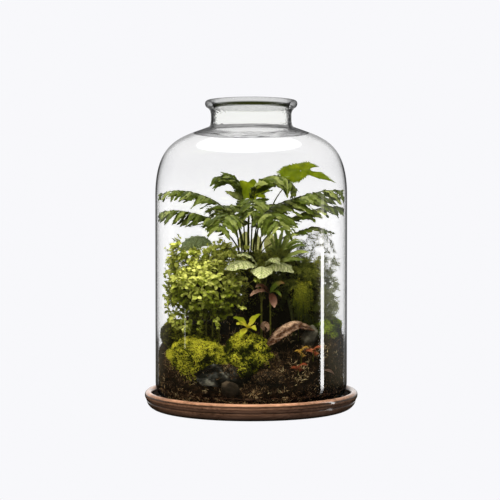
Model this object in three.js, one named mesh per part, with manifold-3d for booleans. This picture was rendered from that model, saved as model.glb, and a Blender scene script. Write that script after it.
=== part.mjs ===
// Glass plant terrarium: a wide-mouthed glass jar that stands in a turned wooden tray and holds a bank of
// soil with stones, moss, a stump, a fern and smaller plants.
// Units are millimetres, +Z is up, the front is towards -Y, and the origin is the centre of the tray's
// underside.
import * as THREE from 'three';
import { mergeVertices } from 'three/addons/utils/BufferGeometryUtils.js';
import Module from 'manifold-3d';

const wasm = await Module();
wasm.setup();

// Driving dimensions
const SIDES = 32;
const SEAT_GAP = 0.3;
const TRAY_RADIUS = 133.5;
const TRAY_HEIGHT = 23;
const TRAY_FLOOR = 9;
const TRAY_FOOT_RADIUS = 118.5;
const TRAY_BEAD = { width: 4.6, height: 5.4 };
const GROOVE = { height: 11, depth: 1.4, radius: 131 };
const JAR_RADIUS = 120;
const JAR_TOP = 388;
const WALL = 3;
const BASE_CORNER = 24;
const CORNER_STEPS = 3;
const SHOULDER_FOOT = 268;
const NECK_FOOT = { radius: 53.5, height: 354.2 };
const NECK_RADIUS = 50.4;
const NECK_WALL = 4;
const LIP_RADIUS = 57.6;
const GROUND_FRONT = 24;
const GROUND_BACK = 104;
const GROUND_RAMP = { from: -125, to: 15, skew: 0.15 };
const BANK = { x: 4, y: 58, width: 56, depth: 40, height: 30 };
const SIDE_FALL = { left: 26, right: 12 };
const GROUND_BUMPS = 1.4;
const GROUND_RINGS = [0, 30, 56, 80, 100, JAR_RADIUS];
const ROOM_TOP = 170;
const STUMP = { foot: [36, 24], top: [-3, 26], footRadius: 37, topRadius: 18, from: 90, height: 190 };
const BLADE = 0.8;
const STEM_CLEARANCE = 0.4;
const STEM_SIDES = 4;
const RIB_HALF = 0.7;
const TIP_TAPER = 0.6;

const JAR_BASE = TRAY_FLOOR + SEAT_GAP;
const INSIDE_RADIUS = JAR_RADIUS - WALL;
const SOIL_RADIUS = INSIDE_RADIUS - SEAT_GAP;
const SOIL_BOTTOM = JAR_BASE + WALL + SEAT_GAP;

// Finishes
const FINISH = {
  wood: { color: '#4a2b1f', roughness: 0.5, metalness: 0 },
  glass: { color: '#eef3f1', roughness: 0.02, metalness: 0 },
  soil: { color: '#2b2019', roughness: 0.95, metalness: 0 },
  darkRock: { color: '#2e3033', roughness: 0.8, metalness: 0 },
  brownRock: { color: '#453a31', roughness: 0.8, metalness: 0 },
  greyRock: { color: '#6b6862', roughness: 0.85, metalness: 0 },
  bark: { color: '#1f1712', roughness: 0.95, metalness: 0 },
  moss: { color: '#7d8a14', roughness: 0.95, metalness: 0 },
  darkMoss: { color: '#333d12', roughness: 0.95, metalness: 0 },
  fern: { color: '#56762c', roughness: 0.6, metalness: 0 },
  brightLeaf: { color: '#76a81c', roughness: 0.5, metalness: 0 },
  bushLeaf: { color: '#86a234', roughness: 0.55, metalness: 0 },
  mottledLeaf: { color: '#a9b684', roughness: 0.6, metalness: 0 },
  roughLeaf: { color: '#4a5a3c', roughness: 0.8, metalness: 0 },
  strapLeaf: { color: '#5d7d3a', roughness: 0.5, metalness: 0 },
  redLeaf: { color: '#7c4037', roughness: 0.5, metalness: 0 },
  yellowLeaf: { color: '#b9bd22', roughness: 0.5, metalness: 0 },
  dryLeaf: { color: '#8a6a50', roughness: 0.8, metalness: 0 },
  feather: { color: '#3c5a2e', roughness: 0.7, metalness: 0 },
  feathery: { color: '#7fa02a', roughness: 0.7, metalness: 0 },
};

const terrarium = new THREE.Group();

// Numbers and curves
const vector = (x, y, z) => new THREE.Vector3(x, y, z);
const mix = (from, to, share) => from + (to - from) * share;

function smoothStep(from, to, value) {
  const share = THREE.MathUtils.clamp((value - from) / (to - from), 0, 1);
  return share * share * (3 - 2 * share);
}

function randomSource(seed) {
  let state = seed;
  return () => {
    state = (Math.imul(state, 1664525) + 1013904223) >>> 0;
    return state / 4294967296;
  };
}

function arc(centreRadius, centreHeight, width, height, fromDegrees, toDegrees, steps) {
  const points = [];
  for (let i = 0; i <= steps; i += 1) {
    const angle = THREE.MathUtils.degToRad(mix(fromDegrees, toDegrees, i / steps));
    points.push(new THREE.Vector2(
      centreRadius + width * Math.cos(angle),
      centreHeight + height * Math.sin(angle),
    ));
  }
  return points;
}

// Solids: every geometry is merged, turned outside out and handed to the boolean library
function indexed(geometry) {
  const bare = geometry.clone();
  bare.deleteAttribute('normal');
  bare.deleteAttribute('uv');
  return mergeVertices(bare, 1e-4);
}

function signedVolume(positions, triangles) {
  const corner = (index) => vector(...positions.slice(3 * index, 3 * index + 3));
  let total = 0;
  for (let i = 0; i < triangles.length; i += 3) {
    const a = corner(triangles[i]);
    total += a.dot(corner(triangles[i + 1]).cross(corner(triangles[i + 2])));
  }
  return total / 6;
}

function toSolid(geometry) {
  const merged = indexed(geometry);
  const positions = merged.attributes.position.array;
  const triangles = [];
  for (let i = 0; i < merged.index.count; i += 3) {
    const [a, b, c] = [0, 1, 2].map((k) => merged.index.array[i + k]);
    if (a !== b && b !== c && c !== a) triangles.push(a, b, c);
  }
  if (signedVolume(positions, triangles) < 0) triangles.reverse();
  return new wasm.Manifold(new wasm.Mesh({
    numProp: 3,
    vertProperties: Float32Array.from(positions),
    triVerts: Uint32Array.from(triangles),
  }));
}

function joined(solids) {
  return solids.reduce((total, solid) => total.add(solid));
}

function largestBody(solid) {
  const bodies = solid.decompose();
  return bodies.reduce((best, body) => (body.volume() > best.volume() ? body : best));
}

function addNode(name, solid, finish) {
  const { vertProperties, triVerts } = largestBody(solid).getMesh();
  const geometry = new THREE.BufferGeometry();
  geometry.setAttribute('position', new THREE.BufferAttribute(Float32Array.from(vertProperties), 3));
  geometry.setIndex(new THREE.BufferAttribute(Uint32Array.from(triVerts), 1));
  geometry.computeVertexNormals();
  const mesh = new THREE.Mesh(geometry, new THREE.MeshStandardMaterial(finish));
  mesh.name = name;
  terrarium.add(mesh);
}

function turned(profile) {
  return new THREE.LatheGeometry(profile, SIDES).rotateX(Math.PI / 2);
}

function moveVertices(geometry, move) {
  const merged = indexed(geometry);
  const positions = merged.attributes.position;
  const point = new THREE.Vector3();
  for (let i = 0; i < positions.count; i += 1) {
    point.fromBufferAttribute(positions, i);
    move(point);
    positions.setXYZ(i, point.x, point.y, point.z);
  }
  return merged;
}

// A slow, smooth unevenness between -1 and 1, different for each seed
function unevenness(point, frequency, seed) {
  const { x, y, z } = point;
  return (
    Math.sin(frequency * x + 1.7 * seed) * Math.cos(frequency * 0.9 * y + 2.3 * seed)
    + Math.sin(frequency * 1.3 * z + 0.6 * x + 3.1 * seed)
    + 0.6 * Math.sin(frequency * 2.1 * y + frequency * 1.7 * x + seed)
  ) / 2.6;
}

// Tray: a turned dish with a rounded rim, a thin groove under it and a recess for the jar
function trayProfile() {
  const beadCentre = TRAY_RADIUS - TRAY_BEAD.width;
  const beadHeight = TRAY_HEIGHT - TRAY_BEAD.height;
  const lowerWall = new THREE.QuadraticBezierCurve(
    new THREE.Vector2(TRAY_FOOT_RADIUS, 0),
    new THREE.Vector2(GROOVE.radius - 3, 2.5),
    new THREE.Vector2(GROOVE.radius, GROOVE.height - 0.8),
  ).getPoints(3);
  return [
    new THREE.Vector2(0, 0),
    ...lowerWall,
    new THREE.Vector2(GROOVE.radius - GROOVE.depth, GROOVE.height),
    new THREE.Vector2(GROOVE.radius + 0.4, GROOVE.height + 0.8),
    ...arc(beadCentre, beadHeight, TRAY_BEAD.width, TRAY_BEAD.height, -35, 180, 7),
    new THREE.Vector2(beadCentre - TRAY_BEAD.width, TRAY_FLOOR),
    new THREE.Vector2(0, TRAY_FLOOR),
  ];
}

// Jar: one wall from the middle of its base up over the lip and down again inside
function shoulderCurve() {
  return new THREE.CubicBezierCurve(
    new THREE.Vector2(JAR_RADIUS, SHOULDER_FOOT),
    new THREE.Vector2(JAR_RADIUS, SHOULDER_FOOT + 70),
    new THREE.Vector2(NECK_FOOT.radius + 34, NECK_FOOT.height - 13.6),
    new THREE.Vector2(NECK_FOOT.radius, NECK_FOOT.height),
  );
}

function jarProfile() {
  const shoulder = shoulderCurve();
  const steps = 7;
  const outer = [];
  const inner = [];
  for (let i = 0; i <= steps; i += 1) {
    const point = shoulder.getPoint(i / steps);
    const tangent = shoulder.getTangent(i / steps);
    outer.push(point);
    inner.push(new THREE.Vector2(point.x - WALL * tangent.y, point.y + WALL * tangent.x));
  }
  inner.pop();
  const cornerCentre = JAR_RADIUS - BASE_CORNER;
  const innerCorner = BASE_CORNER - WALL;
  const neckInside = NECK_RADIUS - NECK_WALL;
  return [
    new THREE.Vector2(0, JAR_BASE),
    ...arc(cornerCentre, JAR_BASE + BASE_CORNER, BASE_CORNER, BASE_CORNER, -90, 0, CORNER_STEPS),
    ...outer,
    new THREE.Vector2(NECK_RADIUS, JAR_TOP - 26),
    new THREE.Vector2(NECK_RADIUS + 0.6, JAR_TOP - 15),
    new THREE.Vector2(LIP_RADIUS - 2.6, JAR_TOP - 9.5),
    new THREE.Vector2(LIP_RADIUS, JAR_TOP - 5),
    new THREE.Vector2(LIP_RADIUS - 1.2, JAR_TOP - 1),
    new THREE.Vector2(LIP_RADIUS - 3, JAR_TOP),
    new THREE.Vector2(LIP_RADIUS - 5, JAR_TOP),
    new THREE.Vector2(neckInside + 1, JAR_TOP - 9),
    new THREE.Vector2(neckInside, JAR_TOP - 26),
    new THREE.Vector2(neckInside + 2.6, NECK_FOOT.height - 2),
    ...inner.reverse(),
    ...arc(cornerCentre, JAR_BASE + BASE_CORNER, innerCorner, innerCorner, 0, -90, CORNER_STEPS),
    new THREE.Vector2(0, JAR_BASE + WALL),
  ];
}

// Ground: low at the front glass, rising to the back, and falling off towards the sides
function groundHeight(x, y) {
  const rise = smoothStep(GROUND_RAMP.from, GROUND_RAMP.to, y + GROUND_RAMP.skew * x);
  const fall = SIDE_FALL.left * smoothStep(76, JAR_RADIUS, -x)
    + SIDE_FALL.right * smoothStep(96, JAR_RADIUS, x);
  const bumps = GROUND_BUMPS * Math.sin(x / 9 + 0.7) * Math.sin(y / 8 + 1.9);
  const fromBank = Math.hypot((x - BANK.x) / BANK.width, (y - BANK.y) / BANK.depth);
  const bank = BANK.height * Math.exp(-(fromBank ** 2));
  return mix(GROUND_FRONT, GROUND_BACK, rise) - fall * rise + bank + bumps;
}

// The room inside the glass, with the play that the soil and the moss keep from it
function roomInGlass() {
  const corner = BASE_CORNER - WALL - SEAT_GAP;
  return toSolid(turned([
    new THREE.Vector2(0, ROOM_TOP),
    new THREE.Vector2(SOIL_RADIUS, ROOM_TOP),
    ...arc(SOIL_RADIUS - corner, SOIL_BOTTOM + corner, corner, corner, 0, -90, CORNER_STEPS),
    new THREE.Vector2(0, SOIL_BOTTOM),
  ]));
}

// All that lies above the ground, out past the glass
function aboveGround(lift) {
  const profile = [
    ...GROUND_RINGS.map((ring) => new THREE.Vector2(ring, 0)),
    new THREE.Vector2(GROUND_RINGS.at(-1), ROOM_TOP),
    new THREE.Vector2(0, ROOM_TOP),
  ];
  return toSolid(moveVertices(turned(profile), (point) => {
    if (point.z < 1) point.z = groundHeight(point.x, point.y) + lift;
  }));
}

// A lump: an uneven ball squeezed to its size, used for stones and moss cushions
function lump({ centre, size, detail, roughness, frequency, seed, facets = 0, tilt = 0, grow = 0 }) {
  const random = randomSource(seed * 7919 + 17);
  const planes = [];
  for (let i = 0; i < facets; i += 1) {
    const normal = vector(random() - 0.5, random() - 0.5, random() - 0.5).normalize();
    planes.push({ normal, distance: mix(0.72, 0.92, random()) });
  }
  const ball = moveVertices(new THREE.IcosahedronGeometry(1, detail), (point) => {
    const direction = point.clone();
    let reach = 1 + roughness * unevenness(direction, frequency, seed);
    planes.forEach(({ normal, distance }) => {
      const along = normal.dot(direction);
      if (along > 0.2) reach = Math.min(reach, distance / along);
    });
    point.multiplyScalar(reach);
    point.set(
      point.x * (size[0] / 2 + grow),
      point.y * (size[1] / 2 + grow),
      point.z * (size[2] / 2 + grow),
    );
  });
  ball.rotateY(THREE.MathUtils.degToRad(tilt));
  return ball.translate(...centre);
}

// Relief: every face of a lump rises to a tip, as a dense growth of leaves or needles does
function withTips(geometry, tipFor) {
  const base = indexed(geometry);
  const corners = [0, 1, 2].map(() => new THREE.Vector3());
  const positions = [...base.attributes.position.array];
  const faces = [];
  for (let i = 0; i < base.index.count; i += 3) {
    const indices = corners.map((_, k) => base.index.array[i + k]);
    corners.forEach((corner, k) => corner.fromBufferAttribute(base.attributes.position, indices[k]));
    const normal = corners[1].clone().sub(corners[0]).cross(corners[2].clone().sub(corners[0])).normalize();
    const middle = corners[0].clone().add(corners[1]).add(corners[2]).divideScalar(3);
    const tip = positions.length / 3;
    positions.push(...tipFor(middle, normal).toArray());
    indices.forEach((index, k) => faces.push(index, indices[(k + 1) % 3], tip));
  }
  const relief = new THREE.BufferGeometry();
  relief.setAttribute('position', new THREE.Float32BufferAttribute(positions, 3));
  relief.setIndex(faces);
  return relief;
}

const ROCKS = [
  { name: 'rock_large', finish: 'darkRock', centre: [-34, -79, 51], size: [70, 34, 34], detail: 2,
    roughness: 0.08, frequency: 2.6, seed: 3, facets: 9, tilt: -3 },
  { name: 'rock_right', finish: 'darkRock', centre: [23, -86, 46], size: [40, 24, 24], detail: 1,
    roughness: 0.08, frequency: 2.4, seed: 5, facets: 7, tilt: 6 },
  { name: 'pebble', finish: 'brownRock', centre: [-26, -103, 37], size: [27, 15, 20], detail: 1,
    roughness: 0.04, frequency: 2.1, seed: 8, tilt: 24 },
  { name: 'rock_back', finish: 'greyRock', centre: [73, -36, 95.4], size: [22, 20, 28.8], detail: 1,
    roughness: 0.08, frequency: 2.5, seed: 11, facets: 8, tilt: 10 },
];

const CUSHIONS = [
  { name: 'moss_centre', finish: 'moss', centre: [-6, -50, 64], size: [70, 62, 72], seed: 2,
    roughness: 0.11 },
  { name: 'moss_left', finish: 'moss', centre: [-64, -46, 60], size: [92, 66, 66], seed: 4 },
  { name: 'moss_ridge', finish: 'darkMoss', centre: [-62, -6, 86], size: [56, 44, 36], seed: 6, detail: 1 },
  { name: 'moss_back_left', finish: 'darkMoss', centre: [-94, 12, 92], size: [46, 62, 30], seed: 9,
    detail: 1 },
  { name: 'moss_right', finish: 'moss', centre: [97, 0, 94], size: [40, 70, 36], seed: 12, detail: 1 },
  { name: 'moss_tuft', finish: 'moss', centre: [-10, -88, 58], size: [17, 13, 14], seed: 14, detail: 1 },
];

function cushionLump(cushion, grow) {
  return lump({ detail: 2, roughness: 0.13, frequency: 3.6, ...cushion, grow });
}

// Stump: a leaning, ridged piece of bark that carries the crown of the fern
function stumpAxis(height) {
  const share = (height - STUMP.from) / (STUMP.height - STUMP.from);
  return {
    x: mix(STUMP.foot[0], STUMP.top[0], share),
    y: mix(STUMP.foot[1], STUMP.top[1], share),
    radius: mix(STUMP.footRadius, STUMP.topRadius, share),
  };
}

function stumpGeometry(foot, grow) {
  const height = STUMP.height - foot;
  const column = new THREE.CylinderGeometry(1, 1, height, 14, 5).rotateX(Math.PI / 2);
  column.translate(0, 0, foot + height / 2);
  return moveVertices(column, (point) => {
    const axis = stumpAxis(point.z);
    const angle = Math.atan2(point.y, point.x);
    const ridge = 1 + 0.09 * Math.sin(5 * angle + point.z / 22) + 0.05 * Math.sin(3 * angle - point.z / 13);
    const reach = axis.radius * ridge + grow;
    point.x = axis.x + point.x * reach;
    point.y = axis.y + point.y * reach;
  });
}

// Stems: tubes along curves, and the holes that they stand in
function tube(points, radius, steps) {
  const section = new THREE.Shape();
  for (let i = 0; i < STEM_SIDES; i += 1) {
    const angle = (2 * Math.PI * i) / STEM_SIDES;
    section[i === 0 ? 'moveTo' : 'lineTo'](radius * Math.cos(angle), radius * Math.sin(angle));
  }
  section.closePath();
  const extrudePath = new THREE.CatmullRomCurve3(points);
  return new THREE.ExtrudeGeometry(section, { steps, extrudePath, bevelEnabled: false });
}

const rootHoles = [];

// A stem may stop part of the way along its path, where a blade takes over
function firstStretch(points, until) {
  const whole = new THREE.CatmullRomCurve3(points);
  return [0, 1, 2, 3, 4, 5, 6].map((i) => whole.getPointAt((until * i) / 6));
}

function rootedStem({ path, radius = 1.1, steps = 8, until = 1 }) {
  const whole = path.map((point) => vector(...point));
  const points = until < 1 ? firstStretch(whole, until) : whole;
  rootHoles.push(toSolid(tube(points, radius + STEM_CLEARANCE, steps)));
  const raised = points.map((point) => point.clone());
  raised[0].lerp(raised[1], STEM_CLEARANCE / raised[0].distanceTo(raised[1]));
  return toSolid(tube(raised, radius, steps));
}

// Blades: an open sheet of triangles, thickened on both faces alike and walled along its edge
function thickened(points, triangles, thickness = BLADE) {
  const normals = points.map(() => new THREE.Vector3());
  const edges = new Map();
  triangles.forEach(([a, b, c]) => {
    const normal = points[b].clone().sub(points[a]).cross(points[c].clone().sub(points[a]));
    [a, b, c].forEach((corner) => normals[corner].add(normal));
    [[a, b], [b, c], [c, a]].forEach(([from, to]) => {
      if (edges.has(`${to} ${from}`)) edges.delete(`${to} ${from}`);
      else edges.set(`${from} ${to}`, [from, to]);
    });
  });
  normals.forEach((normal) => normal.normalize().multiplyScalar(thickness / 2));
  const upper = points.map((point, i) => point.clone().add(normals[i]));
  const lower = points.map((point, i) => point.clone().sub(normals[i]));
  const below = points.length;
  const faces = triangles.flatMap(([a, b, c]) => [a, b, c, c + below, b + below, a + below]);
  edges.forEach(([from, to]) => {
    faces.push(to, from, from + below, to, from + below, to + below);
  });
  const geometry = new THREE.BufferGeometry();
  geometry.setAttribute('position', new THREE.Float32BufferAttribute(
    [...upper, ...lower].flatMap((point) => point.toArray()), 3));
  geometry.setIndex(faces);
  return geometry;
}

// Frames along a rib: the blade's face looks towards facing
function ribFrame(curve, share, facing) {
  const point = curve.getPointAt(share);
  const along = curve.getTangentAt(share);
  const side = facing.clone().cross(along).normalize();
  const up = along.clone().cross(side);
  return { point, along, side, up };
}

function offRib(frame, sideways, upwards) {
  return frame.point.clone().addScaledVector(frame.side, sideways).addScaledVector(frame.up, upwards);
}

// Leaf: a blade with a midrib along a curve, its halves folded up or down, its margin waved or toothed
function leafBlade({
  path, width, facing = [0, 0, 1], rows = 6, fold = 0.15, widest = 0.42, wave = 0, teeth = 0,
}) {
  const curve = new THREE.CatmullRomCurve3(path.map((point) => vector(...point)));
  const face = vector(...facing).normalize();
  const points = [curve.getPointAt(0)];
  const triangles = [];
  for (let row = 1; row < rows; row += 1) {
    const share = row / rows;
    const frame = ribFrame(curve, share, face);
    const bulge = share < widest
      ? Math.sin((Math.PI / 2) * (share / widest)) ** 0.7
      : Math.cos((Math.PI / 2) * ((share - widest) / (1 - widest))) ** 0.8;
    const tooth = row % 2 ? 1 + teeth : 1 - teeth;
    const half = (width / 2) * bulge * tooth;
    const lift = half * fold + wave * (row % 2 ? 1 : -1);
    points.push(frame.point, offRib(frame, half, lift), offRib(frame, -half, lift));
  }
  points.push(curve.getPointAt(1));
  const tip = points.length - 1;
  triangles.push([0, 1, 2], [0, 3, 1]);
  for (let row = 0; row < rows - 2; row += 1) {
    const [rib, left, right] = [1 + 3 * row, 2 + 3 * row, 3 + 3 * row];
    const [nextRib, nextLeft, nextRight] = [rib + 3, left + 3, right + 3];
    triangles.push([rib, nextRib, nextLeft], [rib, nextLeft, left]);
    triangles.push([rib, right, nextRight], [rib, nextRight, nextRib]);
  }
  triangles.push([tip - 3, tip, tip - 2], [tip - 3, tip - 1, tip]);
  return toSolid(thickened(points, triangles));
}

// Frond: one thin arched blade cut to the rib into pairs of leaflets that droop towards their tips
function frondBlade({ path, bladeFrom, pairs, leaflet, droop = 0.5, facing = [0, 0, 1] }) {
  const curve = new THREE.CatmullRomCurve3(path.map((point) => vector(...point)));
  const face = vector(...facing).normalize();
  const points = [];
  const triangles = [];
  const place = (share, sideways, reach) => {
    const frame = ribFrame(curve, Math.min(mix(bladeFrom, 1, share), 1), face);
    const drop = reach > 0 ? (droop * sideways * sideways) / reach : 0;
    points.push(offRib(frame, sideways, -drop));
    return points.length - 1;
  };
  let [left, right] = [place(0, RIB_HALF, 0), place(0, -RIB_HALF, 0)];
  for (let pair = 0; pair < pairs; pair += 1) {
    const start = pair / pairs;
    const step = 1 / pairs;
    const taper = Math.min(1, 0.66 + 2.2 * start) * (1 - TIP_TAPER * smoothStep(0.4, 1.08, start));
    const reach = leaflet * taper;
    const nextLeft = place(start + step, RIB_HALF, 0);
    const nextRight = place(start + step, -RIB_HALF, 0);
    triangles.push([left, right, nextRight], [left, nextRight, nextLeft]);
    [[left, nextLeft, 1], [right, nextRight, -1]].forEach(([base, next, side]) => {
      const inner = place(start + step * 0.05, side * reach * 0.55, reach);
      const tip = place(start + step * 0.75, side * reach, reach);
      const corners = [[base, next, inner], [inner, next, tip]];
      corners.forEach(([a, b, c]) => triangles.push(side > 0 ? [a, b, c] : [a, c, b]));
    });
    [left, right] = [nextLeft, nextRight];
  }
  return toSolid(thickened(points, triangles));
}

// Fan leaf: a lobed outline round its heart, with the rim bent down by droop
function fanLeaf({ centre, acrossAxis, upAxis, outline, heart = [0, 0], droop = 0.15 }) {
  const middle = vector(...centre);
  const across = vector(...acrossAxis).normalize();
  const upward = vector(...upAxis).normalize();
  const normal = across.clone().cross(upward);
  const rim = outline.map(([u, v]) => middle.clone()
    .addScaledVector(across, u)
    .addScaledVector(upward, v)
    .addScaledVector(normal, -droop * Math.hypot(u, v)));
  const points = [
    middle.clone().addScaledVector(across, heart[0]).addScaledVector(upward, heart[1]),
    ...rim,
  ];
  const triangles = rim.map((_, i) => [0, i + 1, ((i + 1) % rim.length) + 1]);
  return toSolid(thickened(points, triangles));
}

// Fern: fronds that rise from the top of the stump, each with its stalk in a hole
const CROWN = STUMP.height - 7;
const FRONDS = [
  { name: 'fern_frond_upper_left', pairs: 11, leaflet: 22, bladeFrom: 0.34, droop: 0.7, path: [
    [-15, 25, CROWN], [-17, 26, 214], [-24, 25, 238], [-38, 23, 254],
    [-57, 20, 265], [-80, 16, 272], [-98, 12, 273], [-112, 9, 269]] },
  { name: 'fern_frond_lower_left', pairs: 11, leaflet: 22, bladeFrom: 0.32, droop: 0.85, path: [
    [-14, 16, CROWN], [-17, 14, 201], [-28, 8, 218], [-42, 2, 233],
    [-57, -4, 242], [-76, -9, 248], [-95, -12, 251], [-111, -14, 249]] },
  { name: 'fern_frond_front_left', pairs: 9, leaflet: 22, bladeFrom: 0.36, droop: 0.55, path: [
    [-8, 13, CROWN], [-10, 10, 206], [-16, -4, 232], [-25, -26, 247],
    [-34, -50, 246], [-40, -70, 234]] },
  { name: 'fern_frond_front_right', pairs: 9, leaflet: 23, bladeFrom: 0.36, droop: 0.6, path: [
    [2, 13, CROWN], [4, 9, 208], [12, -8, 236], [22, -30, 249],
    [31, -52, 246], [37, -68, 234]] },
  { name: 'fern_frond_centre', pairs: 8, leaflet: 20, bladeFrom: 0.42, droop: 0.5, path: [
    [-3, 21, CROWN], [-3, 20, 225], [-2, 12, 252], [0, -8, 264], [2, -30, 262], [3, -46, 251]] },
  { name: 'fern_frond_upper_right', pairs: 11, leaflet: 22, bladeFrom: 0.34, droop: 0.7, path: [
    [5, 25, CROWN], [7, 26, 214], [13, 27, 238], [28, 26, 252],
    [47, 24, 260], [70, 20, 267], [92, 15, 273], [112, 10, 274]] },
  { name: 'fern_frond_lower_right', pairs: 11, leaflet: 20, bladeFrom: 0.32, droop: 0.6, path: [
    [9, 20, CROWN], [13, 20, 205], [28, 19, 224], [46, 17, 236],
    [63, 14, 244], [81, 11, 250], [98, 7, 254], [112, 3, 252]] },
  { name: 'fern_frond_short_right', pairs: 9, leaflet: 15, bladeFrom: 0.4, droop: 0.35, path: [
    [7, 13, CROWN], [14, 10, 198], [34, 7, 212], [56, 4, 221],
    [78, 1, 227], [98, -4, 223]] },
  { name: 'fern_frond_back_left', pairs: 9, leaflet: 21, bladeFrom: 0.38, droop: 0.5, path: [
    [-11, 34, CROWN], [-13, 40, 210], [-20, 54, 236], [-28, 70, 247],
    [-36, 86, 244], [-42, 97, 234]] },
  { name: 'fern_frond_back_right', pairs: 9, leaflet: 21, bladeFrom: 0.38, droop: 0.5, path: [
    [2, 38, CROWN], [4, 45, 210], [11, 60, 237], [20, 76, 248],
    [28, 91, 244], [32, 101, 234]] },
  { name: 'fern_frond_tall_left', pairs: 9, leaflet: 16, bladeFrom: 0.62, droop: 0.5, path: [
    [-8, 29, CROWN], [-9, 30, 225], [-11, 31, 262], [-16, 31, 282],
    [-30, 32, 290], [-46, 33, 288]] },
  { name: 'fern_frond_tall_right', pairs: 9, leaflet: 16, bladeFrom: 0.56, droop: 0.5, path: [
    [-1, 31, CROWN], [1, 29, 225], [3, 24, 262], [10, 18, 284],
    [28, 14, 292], [46, 12, 287], [58, 11, 274]] },
];

function addFronds() {
  FRONDS.forEach((frond) => {
    const stalk = rootedStem({ path: frond.path, until: frond.bladeFrom + 0.03, steps: 4 });
    addNode(frond.name, stalk.add(frondBlade(frond)), FINISH.fern);
  });
}

// Lobed leaves on tall stalks
function addLobedLeaves() {
  const lobes = 9;
  const broadOutline = [];
  for (let i = 0; i < 2 * lobes; i += 1) {
    const angle = (Math.PI * i) / lobes;
    const reach = i % 2 ? 0.78 : 1;
    broadOutline.push([24 * reach * Math.cos(angle), 15 * reach * Math.sin(angle)]);
  }
  const broad = fanLeaf({
    centre: [-1, 45, 271], acrossAxis: [1, 0, 0], upAxis: [0, 0.45, 0.9], outline: broadOutline,
  });
  const broadStalk = rootedStem({ path: [[-4, 39, CROWN], [-4, 43, 225], [-2, 44.5, 270]], steps: 6 });
  addNode('lobed_leaf', broad.add(broadStalk), FINISH.brightLeaf);

  const mapleOutline = [
    [2, -6], [11, 3], [15, 5], [24, 1], [45, -5], [30, 9.5], [17, 12], [26, 19], [15, 26],
    [4, 25.6], [-11, 22.5], [-17, 21], [-25, 13.6], [-21, 5], [-11, -2], [-5, -5.6],
  ];
  const maple = fanLeaf({
    centre: [58, 26, 288], acrossAxis: [1, 0, 0.04], upAxis: [0, 0.72, 0.7], outline: mapleOutline,
    heart: [4, 12],
    droop: 0.08,
  });
  const mapleStalk = rootedStem({
    path: [
      [9, 33, CROWN], [13, 42, 215], [24, 50, 245], [36, 49, 267], [47, 39, 279], [58, 26, 288.4],
    ],
    steps: 6,
  });
  addNode('maple_leaf', maple.add(mapleStalk), FINISH.brightLeaf);
}

// Plants with a few leaves: rooted stems, branches that spring from them, and leaves at their ends
function addLeafyPlant(name, finish, { roots, branches = [], leaves }) {
  const twigs = branches.map(({ path, radius = 0.9, steps = 4 }) => (
    toSolid(tube(path.map((point) => vector(...point)), radius, steps))
  ));
  addNode(name, joined([...roots.map(rootedStem), ...twigs, ...leaves.map(leafBlade)]), finish);
}

function rootedAt(x, y, depth = 7) {
  return [x, y, groundHeight(x, y) - depth];
}

function addStrapPlant() {
  const crown = [34, -5, 184];
  const tips = [
    [30, -14, 213], [40, -19, 219], [52, -22, 220], [65, -24, 212], [73, -26, 200], [58, -32, 192],
  ];
  const leaves = tips.map(([x, y, z]) => ({
    path: [
      crown,
      [mix(crown[0], x, 0.35), mix(crown[1], y, 0.35), mix(crown[2], z, 0.62)],
      [mix(crown[0], x, 0.7), mix(crown[1], y, 0.7), mix(crown[2], z, 0.98)],
      [x, y, z],
    ],
    width: 7,
    facing: [-0.6 * Math.sign(x - crown[0]), -0.6, 0.5],
    rows: 4,
    fold: 0.25,
    widest: 0.5,
  }));
  const cane = { path: [rootedAt(54, -22), [51, -20, 120], [41, -10, 160], crown], radius: 2.6, steps: 5 };
  addLeafyPlant('strap_plant', FINISH.strapLeaf, { roots: [cane], leaves });
}

function addMottledPlant() {
  const fork = [13, -26, 136];
  const shape = { rows: 6, fold: -0.3, wave: 0.7, facing: [0, -0.25, 1] };
  addLeafyPlant('mottled_plant', FINISH.mottledLeaf, {
    roots: [{ path: [rootedAt(13, -25), [13, -25, 110], [13, -26, 140]], radius: 1.5, steps: 4 }],
    branches: [
      { path: [fork, [8, -25, 160], [5, -27, 184.5]] },
      { path: [fork, [13, -29, 160], [12, -32, 181.5]] },
      { path: [fork, [18, -24, 160], [20, -25, 181.5]] },
    ],
    leaves: [
      { ...shape, path: [[6, -27, 184], [-6, -38, 191], [-19, -50, 189], [-31, -60, 181]], width: 29 },
      { ...shape, path: [[12, -31, 181], [13, -42, 184], [13, -54, 180], [11, -64, 171]], width: 22 },
      { ...shape, path: [[19, -25, 181], [30, -28, 187], [42, -32, 185], [53, -37, 176]], width: 27 },
    ],
  });
}

function addPaleLeaves() {
  const shape = { rows: 4, fold: 0.2, wave: 0.5, facing: [0, -1, 0.3], width: 15 };
  const fork = [4, 66.5, 160];
  addLeafyPlant('pale_leaves', FINISH.mottledLeaf, {
    roots: [{ path: [rootedAt(4, 70), [4, 70, 145], [4, 66, 162]], radius: 1.5, steps: 4 }],
    branches: [
      { path: [fork, [-3, 62, 178], [-7, 58, 194]] },
      { path: [fork, [12, 62, 178], [20, 57, 192]] },
      { path: [fork, [5, 66, 176], [6, 63, 188]] },
    ],
    leaves: [
      { ...shape, path: [[-7, 58, 192], [-9, 57, 202], [-8, 55, 211], [-6, 52, 218]] },
      { ...shape, path: [[20, 57, 190], [23, 56, 200], [24, 54, 209], [22, 51, 217]] },
      { ...shape, path: [[6, 63, 186], [7, 63, 196], [7, 61, 206], [8, 58, 214]] },
    ],
  });
}

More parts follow.
